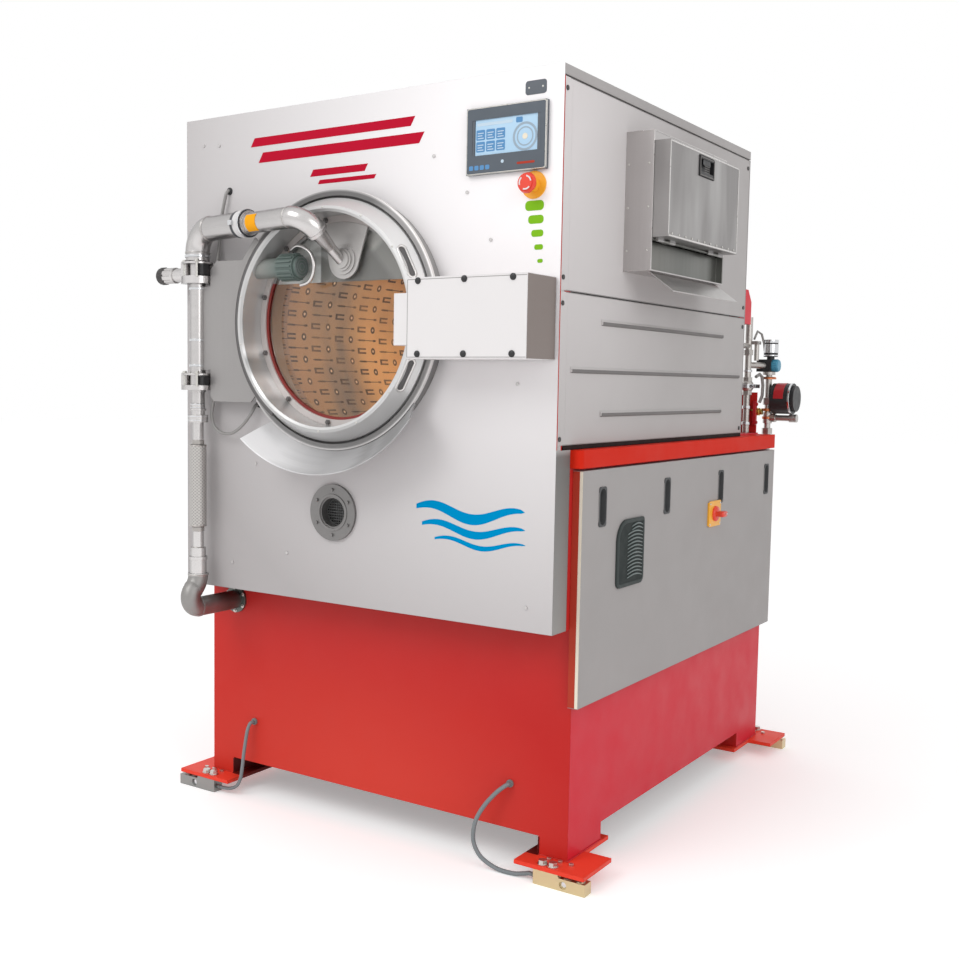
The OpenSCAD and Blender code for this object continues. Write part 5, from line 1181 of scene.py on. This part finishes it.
# Feet: covers, screws and plates of the load cells, weld beads of the legs
cover = [(0, -0.6), (9.6, -0.6), (9.6, 0.2), (8.2, 1.0), (0, 1.2)]
covers, bolts, welds = Piece(), Piece(), Piece()
for side in (1, -1):
    for y in (69, 1718):
        for s in (-1, 1):
            covers.lathe(cover, (side * 704.8, y + s * 13.2, 17), (0, s, 0), 28)
        bolts.bolts([(side * 750, y, 34)], UP, 9, 9)
        bolts.box(side * 716 - 10, side * 716 + 10, y - 12, y + 12, 34.05, 34.6)
    for y0, y1 in ((119.8, 326), (1652.2, 1446)):
        welds.bead([(side * 590, y0, 55.2), (side * 682.2, y0, 55.2), (side * 682.2, y1, 55.2)])
    welds.bead([(side * 641, 119.6, 716), (side * 641, 119.6, 872)], 2.0)
    welds.bead([(side * 588.6, 120.2, 107), (side * 588.6, 120.2, 58)], 2.0)
covers.make("cell_covers", CHROME)
bolts.make("cell_bolts", BOLT)
welds.make("base_welds", RED)

# Inlet cluster behind the casing: drive, riser, ball valve, tap, sensor, hoses
cap = [(0, 0), (22.4, 0), (22.4, 20), (20.5, 23.6), (0, 24.4)]
part = Piece().lathe(cap, (682, 1692, 1463), RIGHT, 36)
part.knurl(684, 701, 1692, 1463, 22.6, 16, 1.5).make("valve_cap_blue", BLUE_CAP)
flange = [(23.6, 0), (26.6, 0), (27.4, 4), (27.4, 9), (26.6, 12), (23.6, 12)]
part = Piece().lathe(flange, (672, 1692, 1548), UP, 40, closed=True)
part.ring(26.2, 27.2, 6, (672, 1692, 1498), UP, 40, 1).ring(26.3, 27.3, 34, (672, 1692, 1510), UP, 40, 1)
part.ring(57.2, 58.6, 8, (758, 1688, 1340), RIGHT, 56, 1).make("inlet_chrome", CHROME)
band = [(57.1, 0), (58.4, 0.8), (58.4, 36), (57.1, 37)]
part = Piece().lathe(band, (706, 1688, 1340), RIGHT, 40, closed=True, start=-128, sweep=128)
part.make("drive_red_band", RED_BAND)
part = Piece().lathe([(0, 0), (27, 0), (27, 6), (24, 9), (0, 9)], (668, 1692, 1412), UP, 36)
part.ring(12.3, 24, 10, (668, 1692, 1292), UP, 36).ring(17.2, 20, 10, (668, 1692, 1262), UP, 32, 1)
part.make("inlet_copper", COPPER)
part = Piece()
for outer, height, z in ((15.5, 10, 1436), (16, 13, 1300), (16, 13, 1240)):
    part.ring(12.2, outer, height, (618, 1600, z), UP, 32, 1)
part.ring(24.2, 25.4, 16, (618, 1600, 1377), UP, 36, 1).rod(7, 20, (642, 1600, 1385), RIGHT)
part.box(656, 662, 1562, 1612, 1378, 1392).make("ball_valve", CHROME, bevel=0.6)
tap = [(0, 0), (11, 0), (11, 4), (14, 5), (14, 20), (11, 21), (11, 30), (0, 30)]
part = Piece().lathe(tap, (640, 1626, 1290), RIGHT, 24)
part.rod(8, 16, (626, 1626, 1296), RIGHT).make("brass_tap", BRASS)
part = Piece().slab_x(rounded(1604, 1616, 1240, 1330, 4, 3), 640, 652)
part.lathes([(0, 0), (6, 0), (6, 5), (0, 6)], [(652, 1610, 1250), (652, 1610, 1318)], RIGHT, 16)
part.make("sensor_block", RED_BAND, bevel=0.8)
thick = [(646, 1612, 1420), (650, 1640, 1430), (652, 1660, 1420), (654, 1668, 1390), (654, 1664, 1350),
         (650, 1650, 1325)]
thin = [(632, 1618, 1560), (636, 1640, 1590), (644, 1664, 1580), (650, 1676, 1545), (655, 1680, 1500)]
Piece().sweep(thick, 6, 10).sweep(thin, 4.2, 10).make("inlet_hoses", HOSE)

# Back: screws round the plate and the drain flange, louvres
spots = [(x, 1376, z) for x in (-415, -220, -40, 140, 335) for z in (1275, 1885)]
spots += [(x, 1376, z) for z in (1430, 1590, 1740) for x in (-415, 335)]
part = Piece().bolts(spots, BACK, 5.5, 4, False)
part.bolts([(x, 1661, z) for x, z in arc(140, 470, 66, 22, 315, 7)], BACK, 5, 5)
spots = [(x, 1374, z) for x in (-660, 660) for z in (1240, 1500, 1760, 2020, 2150)]
part.bolts(spots, BACK, 5, 4, False).make("rear_screws", BOLT)
part = Piece()
for i in range(8):
    z = 1320 + i * 36
    part.slab_x([(1374.05, z + 11), (1374.05, z + 13.5), (1384, z - 1.5), (1382.6, z - 3)], 374, 628)
for i in range(10):
    z = 560 + i * 34
    part.slab_x([(1651.05, z + 13), (1651.05, z + 15.5), (1661, z - 1), (1659.6, z - 2.5)], -448, -152)
part.make("rear_louvres", GREY)
spots = [(-681, y, z) for z in (1240, 1500, 1760, 2020) for y in (120, 1280)]
Piece().bolts(spots, LEFT, 5.5, 4, False).make("left_screws", BOLT)

# Top: edge seam, joint and screws of the cover
part = Piece().box(-678, 678, 905, 907.4, 2200.05, 2200.5)
part.boxes((side * 681.05, side * 681.9, 4, 1372, 2171.4, 2173.4) for side in (1, -1))
part.make("top_seam", SEAM_AND_RIB_SHADE)
spots = [(x, y, 2200) for x in (-640, -320, 0, 320, 640) for y in (40, 890, 922, 1334)]
spots += [(x, y, 2200) for x in (-660, 660) for y in (300, 600, 1130)]
Piece().bolts(spots, UP, 5.5, 4, False).make("top_screws", BOLT)

# Studio: pale floor, soft light
floor_mesh = bpy.data.meshes.new("floor")
floor_mesh.from_pydata([(-30, -30, 0), (30, -30, 0), (30, 30, 0), (-30, 30, 0)], [], [(0, 1, 2, 3)])
floor = place("floor", floor_mesh)
FLOOR = Mat("floor_pale", (0.93, 0.93, 0.93, 1), 0.9, spec=0.0)
FLOOR.set("Emission Color", (1, 1, 1, 1))
FLOOR.set("Emission Strength", FLOOR.seen() * 0.30)
floor_mesh.materials.append(FLOOR.made)

# White background for what is seen; brighter towards the left front for the light it gives
world = bpy.data.worlds.new("studio")
scene.world = world
world.use_nodes = True
sky = Graph(world.node_tree)
bright_side = Vector((-0.62, -0.62, 0.48)).normalized()
facing = sky.node("VectorMath", {0: sky.node("TexCoord", out="Generated"), 1: bright_side}, "Value",
                  operation="DOT_PRODUCT")
light = sky.node("MapRange", {"Value": facing, "From Min": -1, "From Max": 1, "To Min": 0.40, "To Max": 0.95})
background = sky.tree.nodes["Background"].inputs
sky.plug(sky.node("Mix", {0: sky.seen(), 2: light, 3: 1.0}, data_type="FLOAT"), background["Strength"])
background["Color"].default_value = (1, 1, 1, 1)


def area(name, at, to, size, power, color=(1, 1, 1)):
    """A square lamp that looks from one point to another."""
    lamp = bpy.data.lights.new(name, "AREA")
    lamp.energy = power
    lamp.size = size
    lamp.color = color
    made = place(name, lamp)
    made.location = at
    made.rotation_mode = "QUATERNION"
    made.rotation_quaternion = (Vector(to) - Vector(at)).to_track_quat("-Z", "Y")


area("key", (-1.4, -5.4, 5.0), (0, -0.6, 1.4), 3.0, 95)
area("fill", (4.6, -2.2, 3.0), (0.6, 0, 1.2), 3.0, 45)
area("drum_light", P(DX + 120, 420, DZ + 200), P(DX - 220, 900, DZ - 160), 0.3, 4.2, (1.0, 0.93, 0.84))
